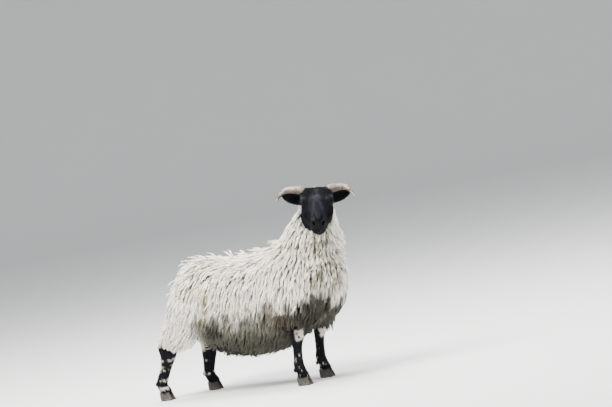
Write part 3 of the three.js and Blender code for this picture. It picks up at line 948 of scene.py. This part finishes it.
def rootsOn(wanted, spacing, crowding=6):
    # random places that keep a distance; wanted is a share for each vertex
    a, b, c = (skinPoints[skinTriangles[:, k]] for k in range(3))
    area = np.linalg.norm(np.cross(b - a, c - a), axis=1) / 2
    weight = area * (wanted[skinTriangles].min(1) > 0)
    count = int(weight.sum() / spacing**2 * crowding)
    chosen = rng.choice(len(area), count, p=weight / weight.sum())
    u, v = rng.random(count), rng.random(count)
    u, v = np.where(u + v > 1, 1 - u, u), np.where(u + v > 1, 1 - v, v)
    shares = np.stack([1 - u - v, u, v], 1)
    corner = skinTriangles[chosen]
    p = (skinPoints[corner] * shares[..., None]).sum(1)
    gap = spacing * (2 - (wanted[corner] * shares).sum(1))
    kept, taken = [], {}
    places = p.tolist()
    around = list(np.ndindex(3, 3, 3))
    for i, (x, y, z) in enumerate(np.floor(p / spacing).astype(int).tolist()):
        q, reach = places[i], gap[i] ** 2
        others = (o for a, b, c in around for o in taken.get((x + a - 1, y + b - 1, z + c - 1), ()))
        if all((q[0] - o[0]) ** 2 + (q[1] - o[1]) ** 2 + (q[2] - o[2]) ** 2 >= reach for o in others):
            taken.setdefault((x, y, z), []).append(q)
            kept.append(i)
    kept = np.array(kept)
    corner, shares = corner[kept], shares[kept]
    normal = unit((skinNormals[corner] * shares[..., None]).sum(1))
    return p[kept], normal, (skinCoat[corner] * shares).sum(1)


def onSkin(p):
    found = [skinTree.find_nearest(q) for q in p.tolist()]
    where = np.array([f[0] for f in found])
    normal = np.array([f[1] for f in found])
    return where, normal, dot(p - where, normal)


def guidesFrom(root, normal, length, height, flow, steps, stiff=0.4, weight=0.12):
    # middle lines that leave the skin, reach their height and lie along the flow
    p, heading = root - 0.002 * normal, normal
    path, outward = [p], [normal]
    for k in range(1, steps + 1):
        t = k / steps
        where, n, gap = onSkin(p)
        along = flow - n * dot(flow, n)[:, None]
        along = unit(along + 1e-4)
        want = height * (1 - (1 - t) ** 1.8)
        climb = np.clip((want - gap) / (length / steps), -0.40, 0.92)[:, None]
        fresh = along * np.sqrt(1 - climb**2) + n * climb
        fresh[:, 2] -= weight * t
        heading = unit(stiff * heading + (1 - stiff) * unit(fresh))
        p = p + heading * (length / steps)[:, None]
        path.append(p)
        outward.append(n)
    path = np.stack(path, 1)
    outward = np.stack(outward, 1)
    along = unit(np.gradient(path, axis=1))
    side = unit(np.cross(along, outward))
    return path, side, np.cross(side, along)


def pick(lines, owner, place):
    # a value at a place from 0 to 1 along each owner's line
    at = np.clip(place, 0, 1) * (lines.shape[1] - 1)
    i = np.minimum(at.astype(int), lines.shape[1] - 2)
    f = (at - i)[..., None]
    owner = owner[:, None]
    return lines[owner, i] * (1 - f) + lines[owner, i + 1] * f


def strandMesh(name, path, crest, width, place, material, layers, patch=0.003):
    # closed three-sided strands; path is strands by rings by 3 and its last ring is the tip
    count, rings = path.shape[:2]
    along = unit(np.gradient(path, axis=1))
    side = unit(np.cross(along, crest))
    crest = np.cross(side, along)
    width = width[..., None]
    ring = np.stack([path - side * width / 2, path + side * width / 2, path + crest * width * 0.5], 2)
    body = ring[:, :-1].reshape(count, -1, 3)
    points = np.concatenate([body, path[:, -1:]], 1)
    size = points.shape[1]
    faces = [(0, 1, 2)]
    for k in range(rings - 2):
        for e in range(3):
            a, b = 3 * k + e, 3 * k + (e + 1) % 3
            faces += [(a, b + 3, b), (a, a + 3, b + 3)]
    last = 3 * (rings - 2)
    faces += [(last + e, size - 1, last + (e + 1) % 3) for e in range(3)]
    faces = np.array(faces)[None] + (np.arange(count) * size)[:, None, None]
    piece = meshOf(name, points.reshape(-1, 3), faces.reshape(-1, 3))
    level = np.append(np.repeat(np.arange(rings - 1), 3), rings - 1)
    spread = {}
    for key, values in layers.items():
        values = values if values.ndim > 1 else np.repeat(values[:, None], rings, 1)
        spread[key] = values[:, level].reshape((-1,) + values.shape[2:])
    paint(piece, **spread)
    offset = np.stack([np.append(np.tile([0.0, 1.0, 0.5], rings - 1), 0.5), level / (rings - 1)], 1)
    uv = place[:, None] + (offset[None] - 0.5) * patch
    unwrap(piece, uv.reshape(-1, 2))
    piece.data.materials.append(material)
    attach(piece, "root")
    return piece


def unwrapped(p, axis):
    # a tube unwrapped: the way along the axis and the angle round it
    a, b = (p[:, k] - (p[:, k].max() + p[:, k].min()) / 2 for k in {0: (1, 2), 2: (0, 1)}[axis])
    share = (p[:, axis] - p[:, axis].min()) / np.ptp(p[:, axis])
    return 0.01 + 0.98 * np.stack([share, np.arctan2(a, b) / (2 * math.pi) + 0.5], 1)


def woolMaterial():
    shader = Shader("fleeceWool", Specular_IOR_Level=0.15, Sheen_Weight=0.03, Sheen_Roughness=0.45)
    tip, shade = shader.attribute("tip"), shader.attribute("shade")
    fine = shader.noise(520, 3, 0.6, (1, 1, 0.35))
    # painted shade: the wool darkens towards the roots, deep in the fleece; shade and fine vary its tone
    # at random
    light = (0.80 + 0.20 * tip ** 0.7) * shade * (0.88 + 0.24 * fine)
    colour = shader.attribute("coatColour", "Color") * light
    return shader.drive(Base_Color=colour, Roughness=0.62 + 0.25 * fine,
                        Normal=shader.bump(fine, 0.35, 0.0008))


def hairMaterial():
    shader = Shader("shortHair", Specular_IOR_Level=0.11)
    fine = shader.noise(1500, 2, 0.6)
    colour = shader.attribute("coatColour", "Color") * (shader.attribute("shade") * (0.8 + 0.4 * fine))
    return shader.drive(Base_Color=colour, Roughness=0.42 + 0.25 * fine)


# the fleece: staples of wool, each a bunch of strands drawn together at the tip

fleece = {"spacing": 0.0133, "strands": 11, "rings": 5, "width": 0.0031, "length": 2.05, "drawn": 0.66,
          "wave": 0.0024, "waveLength": 0.048, "spiky": 0.10, "stray": 0.012,
          "spikeReach": (1.15, 1.55), "lumps": 0.42, "onNeck": 0.22, "shawl": 0.45}


def woolFlow(p, n):
    x, y, z = p.T
    side = np.tanh(y / 0.035) + rng.normal(0, 0.5, len(p)) * ramp(np.abs(y), 0.05, 0.0)
    rear = ramp(x, -0.16, -0.34)
    front = ramp(x, 0.30, 0.42)
    flow = np.stack([-0.34 - 0.46 * rear + 0.16 * front, 0.38 * side, -np.ones(len(p))], 1)
    top = ramp(n[:, 2], 0.55, 0.9)
    flow[:, 0] -= 0.35 * top
    wander = np.stack([noise(p, 0.085, s) - 0.5 for s in (11, 12, 13)], 1)
    return unit(flow) + 0.38 * wander + rng.normal(0, 0.09, p.shape)


woolly = ramp(skinCoat, 0.0055, 0.009) * (0.55 + 0.45 * ramp(skinCoat, 0.03, 0.012))
root, normal, depth = rootsOn(woolly, fleece["spacing"] * 0.69)
topness = ramp(normal[:, 2], 0.25, 0.75) * (depth > 0.02)
nape = ramp(normal[:, 0], -0.2, -0.6) * (root[:, 2] > 0.60) * (root[:, 0] > 0.25)
spiky = rng.random(len(root)) < fleece["spiky"] * np.maximum(topness, nape)
spiky |= rng.random(len(root)) < fleece["stray"]
lumps = noise(root, 0.06, 21)
height = (depth - 0.002) * (0.70 + fleece["lumps"] * lumps + rng.normal(0, 0.07, len(root)))
onNeck = (root[:, 2] > 0.56) & (root[:, 0] > 0.26)
height = height * (1 + fleece["onNeck"] * onNeck)
spikes = depth * rng.uniform(*fleece["spikeReach"], len(root))
height = np.where(spiky, spikes, np.minimum(height, depth * 1.15 + 0.003))
length = (0.012 + fleece["length"] * depth) * rng.uniform(0.85, 1.18, len(root))
length = np.where(root[:, 2] < 0.30, length * 0.85, length)
byElbow = ramp(awayFrom(root, [0.285, 0, 0.310], [0.075, 0.30, 0.040]), 1.2, 0.8)
byElbow = byElbow * ramp(np.abs(root[:, 1]), 0.05, 0.08) * ramp(root[:, 1], 0.13, 0.10)
length = length * (1 - 0.5 * byElbow)
shawl = (root[:, 0] > 0.2) & (root[:, 1] > 0.06) & (root[:, 2] < 0.36)
length = length * (1 + fleece["shawl"] * shawl)
byHead = ramp(awayFrom(root, headMiddle), 0.165, 0.11)
behindPoll = byHead * ramp(toHead(root)[:, 2], -0.05, -0.01)
height = height * (1 - 0.35 * byHead - 0.6 * behindPoll)
length = length * (1 - 0.30 * byHead - 0.5 * behindPoll)
leftNeck = ramp(awayFrom(root, [0.475, 0.080, 0.645], [0.06, 0.10, 0.075]), 1.2, 0.6)
leftChest = ramp(awayFrom(root, [0.460, 0.090, 0.460], [0.08, 0.12, 0.080]), 1.2, 0.6)
height = height * (1 + 0.55 * leftNeck - 0.30 * leftChest)
flow = woolFlow(root, normal)
flow = np.where(spiky[:, None], unit(flow) * 0.8 + normal * 0.1 + [-0.35, 0, 0.1], flow)
path, side, crest = guidesFrom(root, normal, length, height, flow, 9)
print("staples", len(root), time.time() - started)

perStaple = fleece["strands"]
owner = np.repeat(np.arange(len(root)), perStaple)
total = len(owner)
turn = rng.random(total) * 2 * math.pi
reach = np.sqrt((np.tile(np.arange(perStaple), len(root)) + 0.5) / perStaple)
spreadHere = (fleece["spacing"] * 0.62 * np.where(spiky, 0.7, 1.0))[owner] * reach
levels = np.append(np.linspace(0, 0.89, fleece["rings"]) ** 0.85, 1.0)
endAt = np.clip(1.0 - 0.24 * rng.random(total) ** 1.5, 0.6, 1.0)
t = levels[None] * endAt[:, None]
spine, sideways, outward = (pick(line, owner, t) for line in (path, side, crest))
drawn = 1 - fleece["drawn"] * ramp(t, 0.05, 1.0)
u, v = (np.cos(turn) * spreadHere)[:, None] * drawn, (np.sin(turn) * spreadHere)[:, None] * drawn
phase = (rng.random(len(root)) * 6.28)[owner] + rng.normal(0, 0.55, total)
swing = fleece["wave"] * ramp(t, 0.02, 0.5) * (0.6 + 0.8 * rng.random(total))[:, None]
angle = phase[:, None] + 2 * math.pi * t * (length[owner] / fleece["waveLength"])[:, None]
u = u + swing * np.sin(angle)
v = v * (0.9 - 0.35 * t) + 0.5 * swing * np.cos(angle)
strandPath = spine + sideways * u[..., None] + outward * v[..., None]
profile = np.interp(levels, [0, 0.3, 0.7, 0.9, 1.0], [0.75, 1.0, 0.92, 0.6, 0.0])
thick = fleece["width"] * profile[None] * rng.uniform(0.7, 1.25, total)[:, None]
thick = thick * np.interp(depth, [0.008, 0.03], [0.5, 1.0])[owner][:, None]
colour = [markings(strandPath[:, k], np.ones(total)) for k in range(1, len(levels))]
colour = np.stack([colour[0], *colour], 1)
shade = np.clip(rng.normal(1.0, 0.055, len(root))[owner] + rng.normal(0, 0.03, total), 0.8, 1.15)
tip = np.repeat(levels[None], total, 0)
wool = woolMaterial()
pieceSize = 199000 // (6 * (fleece["rings"] - 1) + 4)
rootSide = root[owner, 1] > 0
isNeck = ((root[:, 2] > 0.56 + 0.15 * ramp(root[:, 0], 0.36, 0.26)) & (root[:, 0] > 0.26))[owner]
for sign in (right, left):
    here = (rootSide == (sign == left))
    for word, chosen, nodes in (("neck", isNeck, ("neck",)), ("body", ~isNeck, ("trunk", "tail"))):
        order = np.flatnonzero(here & chosen)
        order = order[np.argsort(root[owner[order], 0], kind="stable")]
        shares = np.array_split(order, max(1, math.ceil(len(order) / pieceSize)))
        for k, some in enumerate(shares):
            spots = unwrapped(root[owner[some]], 2 if word == "neck" else 0)
            name = f"fleece_{word}_{sideNames[sign]}_{k + 1}"
            piece = strandMesh(name, strandPath[some], outward[some], thick[some], spots, wool,
                               {"coatColour": colour[some], "tip": tip[some], "shade": shade[some]})
            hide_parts(*nodes)
print("fleece", total, time.time() - started)

# short hair: small tufts that lie flat on the face, the ears and the legs

hair = {"spacing": 0.0025, "levels": (0.0, 0.45, 1.0), "widths": (0.8, 1.0, 0.0), "width": 0.0014,
        "length": 0.0110, "height": 0.0011}


def hairFlow(p, n):
    h = toHead(p)
    onHead = awayFrom(p, headMiddle) < 0.24
    muzzle = np.tile(headAxes[:, 0], (len(p), 1))
    poll = ramp(h[:, 0], -0.004, -0.028)[:, None]
    outwards = headAxes[:, 1][None] * np.tanh(h[:, 1:2] / 0.012)
    flow = muzzle * (1 - poll) + poll * (0.85 * outwards - 0.30 * muzzle)
    onEar = (np.abs(h[:, 1]) > 0.062) & (h[:, 0] < -0.03)
    flow = np.where(onEar[:, None], outwards - 0.35 * muzzle, flow)
    flow = np.where(onHead[:, None], flow, np.array([0, 0, -1.0]))
    return flow + rng.normal(0, 0.12, p.shape)


shortHair = hairMaterial()
onHeadSkin = (awayFrom(skinPoints, headMiddle) < 0.24) & (skinCoat < 0.011)
headPoints = toHead(skinPoints)
bareSpots = (headPoints[:, 0] > 0.112) & onHeadSkin  # nose leather and lips
bareSpots |= awayFrom(folded(headPoints), eyeAt) < 0.0185  # the lids

onLegSkin = (skinPoints[:, 2] < 0.34) & (skinCoat < 0.011)
for word, chosen, share in (("face", onHeadSkin & ~bareSpots, 1.0), ("legs", onLegSkin, 1.22)):
    place, n, coatHere = rootsOn(chosen * 1.0, hair["spacing"] * share)
    size = hair["length"] * rng.uniform(0.7, 1.25, len(place))
    rise = hair["height"] * rng.uniform(0.6, 1.6, len(place))
    if word == "face":
        h = toHead(place)
        snout = ramp(h[:, 0], 0.02, 0.11)
        size = size * (1 - 0.45 * snout)
        collar = ramp(awayFrom(folded(h), [-0.064, 0.048, 0.022]), 0.042, 0.026)  # round the horns
        poll = ramp(h[:, 0], -0.035, -0.065) * (np.abs(h[:, 1]) < 0.06)
        size = size * (1 + 0.9 * np.maximum(poll, collar))
        rise = rise * (1 + 1.4 * poll + 1.1 * collar)
        rise = np.where((np.abs(h[:, 1]) > 0.075) & (rng.random(len(h)) < 0.5), rise * 1.8, rise)
    else:
        feather = ramp(place[:, 2], 0.075, 0.045) + 0.8 * ramp(place[:, 2], 0.22, 0.30)
        size = size * (1.15 + 0.7 * feather)
        rise = rise * (1 + 1.2 * feather)
    path, side, crest = guidesFrom(place, n, size, rise, hairFlow(place, n), 4, 0.25, 0.0)
    who = np.arange(len(place))
    t = np.repeat(np.array(hair["levels"])[None], len(place), 0)
    line, outward = pick(path, who, t), pick(crest, who, t)
    colour = np.repeat(markings(place, ramp(coatHere, 0.005, 0.011))[:, None], t.shape[1], 1)
    wide = hair["width"] * np.array(hair["widths"])[None] * rng.uniform(0.7, 1.3, len(place))[:, None]
    if word == "face":
        where = toHead(place)
        turn = np.arctan2(where[:, 1], where[:, 2] + 0.02) / (2 * math.pi) + 0.5
        spot = np.stack([0.02 + 0.96 * (where[:, 0] + 0.12) / 0.28, 0.01 + 0.98 * turn], 1)
    else:
        legNumber = (place[:, 0] > 0) * 2 + (place[:, 1] > 0)
        axisX = np.where(place[:, 0] > 0, 0.262, np.where(place[:, 1] > 0, -0.36, -0.49))
        turn = np.arctan2(place[:, 0] - axisX, np.abs(place[:, 1]) - 0.098) / (2 * math.pi) + 0.5
        spot = np.stack([(legNumber + 0.03 + 0.94 * turn) / 4, 0.02 + 0.96 * place[:, 2] / 0.36], 1)
    shade = 0.95 * np.exp(rng.normal(0, 0.38, len(place)))
    piece = strandMesh(f"hair_{word}", line, outward, wide, spot, shortHair,
                       {"coatColour": colour, "shade": shade})
    legs = [name for name in fleshNodes if "leg" in name]
    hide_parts(*(legs if word == "legs" else ["head", "ear_right", "ear_left"]))
    print("hair", word, len(place), time.time() - started)

def grid(name, points):
    # rings of points joined into quads and closed at both ends
    rings, around = points.shape[:2]
    k = np.arange(around)
    faces = []
    for r in range(rings - 1):
        a, b = r * around + k, r * around + (k + 1) % around
        faces += np.stack([a, b, b + around, a + around], 1).tolist()
    faces += [k[::-1].tolist(), ((rings - 1) * around + k).tolist()]
    mesh = bpy.data.meshes.new(name)
    mesh.from_pydata((points.reshape(-1, 3) + frameShift).tolist(), [], faces)
    mesh.shade_smooth()
    return added(name, mesh)


eyeball = {"rings": 40, "around": 64, "gap": 0.0004, "bulge": 0.045}


def eyeMaterial():
    shader = Shader("eyeball", Roughness=0.08, IOR=1.22)
    at = shader.attribute("eyePlace", "Vector")
    x, y, z = (shader.node("ShaderNodeSeparateXYZ", {}, {"Vector": at}, letter) for letter in "XYZ")
    radius = (x * x + y * y) ** 0.5
    pupil = shader.between(((x * 0.85) ** 4 + (y * 2.7) ** 4) ** 0.25, 0.36, 0.29)  # a level slot
    streaks = shader.noise(14, 4, 0.6, at=at * (1.0, 1.0, 0.3))
    iris = shader.ramp(streaks, (0.25, (0.0025, 0.0016, 0.001)), (0.6, (0.008, 0.0044, 0.002)),
                       (0.85, (0.014, 0.008, 0.0035)))
    rim = shader.between(radius, 0.60, 0.74)
    ring = shader.mix(rim, iris, (0.003, 0.002, 0.002, 1))
    corner = shader.mix(shader.between(radius, 0.80, 0.92), ring, (0.012, 0.009, 0.007, 1))
    front = shader.mix(pupil, corner, (0.002, 0.002, 0.003, 1))
    inFront = shader.between(z, 0.1, 0.25)
    return shader.drive(Base_Color=shader.mix(inFront, (0.05, 0.035, 0.028, 1), front))


eyeShine = eyeMaterial()
for sign in (right, left):
    centre, look, along, rise = eyeFrame(sign)
    a = np.linspace(0.02, math.pi - 0.02, eyeball["rings"])[:, None]
    b = np.linspace(0, 2 * math.pi, eyeball["around"], endpoint=False)[None]
    local = np.stack([np.sin(a) * np.cos(b), np.sin(a) * np.sin(b), np.cos(a) + 0 * b], -1)
    cornea = 1 + eyeball["bulge"] * ramp(local[..., 2:], 0.70, 0.92)
    ball = local * cornea * (eyeRadius - eyeball["gap"])
    points = fromHead(centre + ball[..., :1] * along + ball[..., 1:2] * rise + ball[..., 2:] * look)
    if dot(np.cross(along, rise), look) < 0:
        points, local = points[:, ::-1], local[:, ::-1]
    eye = grid(f"eye_ball_{sideNames[sign]}", points[::-1])
    layer = eye.data.attributes.new("eyePlace", "FLOAT_VECTOR", "POINT")
    layer.data.foreach_set("vector", local[::-1].reshape(-1, 3).astype(np.float32).ravel())
    eye.data.materials.append(eyeShine)
    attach(eye, "root")
    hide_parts(f"eye_{sideNames[sign]}")

horn = {"path": [[-48, 24, 4, 24], [-76, 69, 20, 22], [-90, 95, 12, 19], [-94, 123, 10, 16.5],
                 [-83, 145, 12, 13], [-62, 160, 16, 9.5], [-37, 171, 19, 6.5], [-13, 178, 23, 3.2]],
        "reach": {right: 1.03, left: 0.97},
        "rings": 190, "around": 48, "ridges": 15, "ridgeDepth": 0.045, "ridgeBow": 0.17, "grain": 0.008,
        "keel": 0.05, "flatness": 0.88, "mottle": {right: 0.75, left: 0.9}}


def hornMaterial():
    shader = Shader("hornKeratin", Specular_IOR_Level=0.18)
    streak, patches = shader.noise(230, 4, 0.65), shader.noise(60, 4, 0.6)
    colour = shader.ramp(shader.attribute("along"), (0.0, (0.03, 0.018, 0.011)),
                         (0.22, (0.15, 0.105, 0.075)), (0.45, (0.36, 0.285, 0.235)),
                         (0.8, (0.13, 0.085, 0.062)), (1.0, (0.17, 0.085, 0.055)))
    colour = shader.mix(shader.between(patches, 0.42, 0.62) * 0.72, colour, (0.034, 0.021, 0.014, 1))
    colour = shader.mix(shader.between(streak, 0.40, 0.76) * 0.75, colour, (0.62, 0.55, 0.48, 1))
    # painted shade on the lower side of the horn
    colour = shader.mix(shader.attribute("under") * 0.85, colour, (0.010, 0.007, 0.005, 1))
    colour = shader.mix(shader.attribute("mottle") * shader.between(patches, 0.40, 0.56), colour,
                        (0.005, 0.004, 0.004, 1))
    fine = shader.noise(900, 3, 0.6)
    crack = shader.between((shader.noise(75, 3, 0.5) - 0.5) ** 2.0, 0.00035, 0.00005)
    colour = shader.mix(crack * 0.85, colour, (0.03, 0.02, 0.015, 1))
    colour = shader.mix(shader.attribute("groove") * 0.35, colour, (0.13, 0.09, 0.055, 1))
    return shader.drive(Base_Color=colour, Roughness=0.42 + 0.3 * streak,
                        Normal=shader.bump(0.6 * streak + 0.4 * fine, 0.35, 0.0009))


hornKeratin = hornMaterial()
for sign in (right, left):
    t = np.linspace(0, 1, horn["rings"])
    reach = sign * horn["reach"][sign]
    curve = Spine([[a, o * reach, *rest] for a, o, *rest in horn["path"]], lateral=(1, 0, 0.3), fine=24)
    marks = np.arange(len(curve.rows))
    row, out, up, tangent = (np.stack([np.interp(t * marks[-1], marks, column) for column in v.T], 1)
                             for v in (curve.rows, curve.out, curve.up, curve.tangent))
    angles = np.arange(horn["around"]) * 2 * math.pi / horn["around"]
    bow = horn["ridgeBow"] * np.cos(angles)[None] * (1 - t)[:, None]
    waves = horn["ridges"] * t[:, None] ** 0.8 + bow + 0.10 * np.sin(3 * angles)[None]
    ridge = (0.5 + 0.5 * np.cos(2 * math.pi * waves)) ** 0.7
    grain = 0.5 + 0.5 * np.cos(2 * math.pi * waves * 4.0)
    fade = (1 - ramp(t, 0.62, 0.95))[:, None]  # the tip is smooth
    swell = 1 + fade * (horn["ridgeDepth"] * (ridge - 0.6) + horn["grain"] * grain)
    keel = 1 + horn["keel"] * np.cos(2 * (angles - 0.6))[None]
    radius = row[:, 3][:, None] * swell * keel * np.where(t > 0.985, 0.45, 1)[:, None]
    around = (np.cos(angles)[None, :, None] * out[:, None]
              + horn["flatness"] * np.sin(angles)[None, :, None] * up[:, None])
    points = row[:, None, :3] + radius[..., None] * around
    if dot(np.cross(out[5], up[5]), tangent[5]) < 0:
        points, ridge = points[:, ::-1], ridge[:, ::-1]
    piece = grid(f"horn_curl_{sideNames[sign]}", fromHead(points))
    along = np.repeat(t, horn["around"])
    # painted shade: darker on the lower, front side of each horn, less towards the tip
    under = ramp(unit(points - row[:, None, :3]) @ [0.7, 0, -0.7], -0.70, 0.35) * (1 - 0.5 * t)[:, None]
    paint(piece, along=along, under=under.ravel(), groove=((1 - ridge) ** 2 * fade).ravel(),
          mottle=ramp(along, 0.30, 0.75) * horn["mottle"][sign] * ramp(along, 0.97, 0.88))
    piece.data.materials.append(hornKeratin)
    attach(piece, "root")
    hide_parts(f"horn_{sideNames[sign]}")

# cloven hooves, two claws to a foot

claw = {"halfWidth": 11.6, "spread": 13.4, "sole": 34, "top": 27, "rake": 9, "point": 0.34,
        "height": 40, "ahead": 6, "growthDepth": 0.012, "growthTurns": 1.55, "innerWall": 0.93,
        "rings": 40, "around": 64}
feet = {("fore", right): (264, -95), ("fore", left): (273, 95), ("hind", right): (-505, -98),
        ("hind", left): (-355, 98)}


def hoofMaterial():
    shader = Shader("hoofHorn")
    streak = shader.noise(220, 4, 0.6, (1, 1, 0.25))
    dust = shader.noise(70, 3, 0.5)
    colour = shader.ramp(streak, (0.3, (0.017, 0.014, 0.013)), (0.6, (0.036, 0.029, 0.024)),
                         (0.8, (0.070, 0.056, 0.043)))
    dusty = shader.between(dust + 0.4 * shader.attribute("low"), 0.66, 1.0)
    colour = shader.mix(dusty * 0.5, colour, (0.15, 0.12, 0.085, 1))
    return shader.drive(Base_Color=colour, Roughness=0.45 + 0.35 * dust,
                        Normal=shader.bump(shader.attribute("growth") + 0.5 * streak, 0.5, 0.0006))


hoofHorn = hoofMaterial()
for (end, sign), (x, y) in feet.items():
    for out, word in ((-sign, "inner"), (sign, "outer")):
        walls = claw["rings"] - 4
        levels = np.array([0, 0, 0.03, 0.10, *np.linspace(0.14, 1, walls)])
        inset = np.array([0.80, 0.95, 0.985, 1.0] + [1.0] * walls)  # a flat sole with a rounded edge
        z = levels * claw["height"]
        half = np.interp(z, [0, 5, claw["height"]], [claw["sole"] - 1, claw["sole"], claw["top"]])
        angle = np.arange(claw["around"]) * 2 * math.pi / claw["around"]
        narrow = 1 - claw["point"] * np.maximum(np.cos(angle), 0) ** 1.2
        wave = np.sin(z * claw["growthTurns"])
        growth = 1 + claw["growthDepth"] * wave[:, None] * (levels > 0.1)[:, None]
        flatter = np.where(np.sin(angle) * out < 0, claw["innerWall"], 1.0)
        ahead = (half * inset)[:, None] * growth * np.cos(angle) - (claw["rake"] * levels)[:, None]
        aside = claw["halfWidth"] * inset[:, None] * growth * np.sin(angle) * narrow * flatter
        points = np.stack([x + claw["ahead"] + ahead, y + out * claw["spread"] + aside,
                           np.repeat(z[:, None], claw["around"], 1)], -1) / 1000
        name = f"hoof_{end}_{sideNames[sign]}_{word}"
        piece = grid(name.replace("hoof", "claw"), points)
        paint(piece, low=np.repeat(1 - levels, claw["around"]),
              growth=np.repeat(0.5 + 0.5 * wave, claw["around"]))
        piece.data.materials.append(hoofHorn)
        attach(piece, "root")
        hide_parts(name)
print("horns, eyes and hooves", time.time() - started)

# the camera
view = {"turn": 31, "lift": 3, "roll": 10.5, "distance": 12, "metresPerPixel": 0.0046,
        "knee": (0.265, -0.095, 0.226), "kneePixel": (296.5, 337), "image": (612, 407), "sensor": 36}
turn, lift, roll = (math.radians(view[k]) for k in ("turn", "lift", "roll"))
back = np.array([math.sin(turn) * math.cos(lift), -math.cos(turn) * math.cos(lift), math.sin(lift)])
level = np.array([math.cos(turn), math.sin(turn), 0])
upright = np.cross(back, level)
across = level * math.cos(roll) - upright * math.sin(roll)
upward = level * math.sin(roll) + upright * math.cos(roll)
offCentre = (np.array(view["kneePixel"]) - np.array(view["image"]) / 2) * view["metresPerPixel"]
camera = added("camera", bpy.data.cameras.new("camera"))
camera.location = (np.array(view["knee"]) + frameShift + back * view["distance"]
                   - across * offCentre[0] + upward * offCentre[1])
camera.rotation_euler = Matrix(np.stack([across, upward, back], 1)).to_euler()
camera.data.sensor_width = view["sensor"]
camera.data.lens = view["sensor"] * view["distance"] / view["metresPerPixel"] / view["image"][0]
camera.data.clip_end = 100
bpy.context.scene.camera = camera

bowl = {"flat": 15.0, "curve": 6.0, "wall": 6.0, "sides": 96, "steps": 14}


def bowlFloor():
    # a flat floor that curves up into a wall all round
    bends = np.linspace(0, math.pi / 2, bowl["steps"] + 1)
    reach = np.append(bowl["flat"] + bowl["curve"] * np.sin(bends), bowl["flat"] + bowl["curve"])
    height = np.append(bowl["curve"] * (1 - np.cos(bends)), bowl["curve"] + bowl["wall"])
    n = bowl["sides"]
    angles = np.arange(n) * 2 * math.pi / n
    points = [(0, 0, 0)]
    for r, z in zip(reach, height):
        points += np.stack([r * np.cos(angles), r * np.sin(angles), np.full(n, z)], 1).tolist()
    here = 1 + np.arange(n)
    beside = 1 + (here % n)
    faces = np.stack([0 * here, here, beside], 1).tolist()
    for first in range(0, len(bends) * n, n):
        ring = np.stack([here, here + n, beside + n, beside], 1) + first
        faces += ring.tolist()
    mesh = bpy.data.meshes.new("floor")
    mesh.from_pydata(points, [], faces)
    mesh.shade_smooth()
    return added("floor", mesh)


floor = bowlFloor()
paleFloor = Shader("paleFloor", Base_Color=(0.72, 0.72, 0.71, 1), Roughness=0.9)
floor.data.materials.append(paleFloor.material)
floor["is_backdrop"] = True


lightTarget = np.array([0, 0, 0.45])  # the middle of the body


def softLight(name, toward, distance, size, watts, colour=(1, 1, 1)):
    lamp = added(name, bpy.data.lights.new(name, "AREA"))
    lamp.data.size = size
    lamp.data.energy = watts
    lamp.data.color = colour
    toward = unit(np.array(toward, float))
    lamp.location = toward * distance + lightTarget
    lamp.rotation_euler = Vector(toward).to_track_quat("Z", "Y").to_euler()


softLight("key", (-0.20, -0.70, 1.05), 5.0, 2.4, 870, (1.0, 0.985, 0.955))
softLight("fill", (1.0, 0.25, 0.50), 6.0, 4.0, 380, (0.95, 0.98, 1.0))
softLight("top", (-0.10, 0.15, 1.2), 5.0, 3.0, 700)
world = bpy.data.worlds.new("world")
world.use_nodes = True
sky = world.node_tree.nodes["Background"].inputs
sky["Color"].default_value = (0.93, 0.96, 1.0, 1)
sky["Strength"].default_value = 0.80
bpy.context.scene.world = world

triangles = {piece.name: len(piece.data.loops) - 2 * len(piece.data.polygons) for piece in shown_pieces()}
print("pieces", len(triangles), "triangles", sum(triangles.values()), "most", max(triangles.values()))
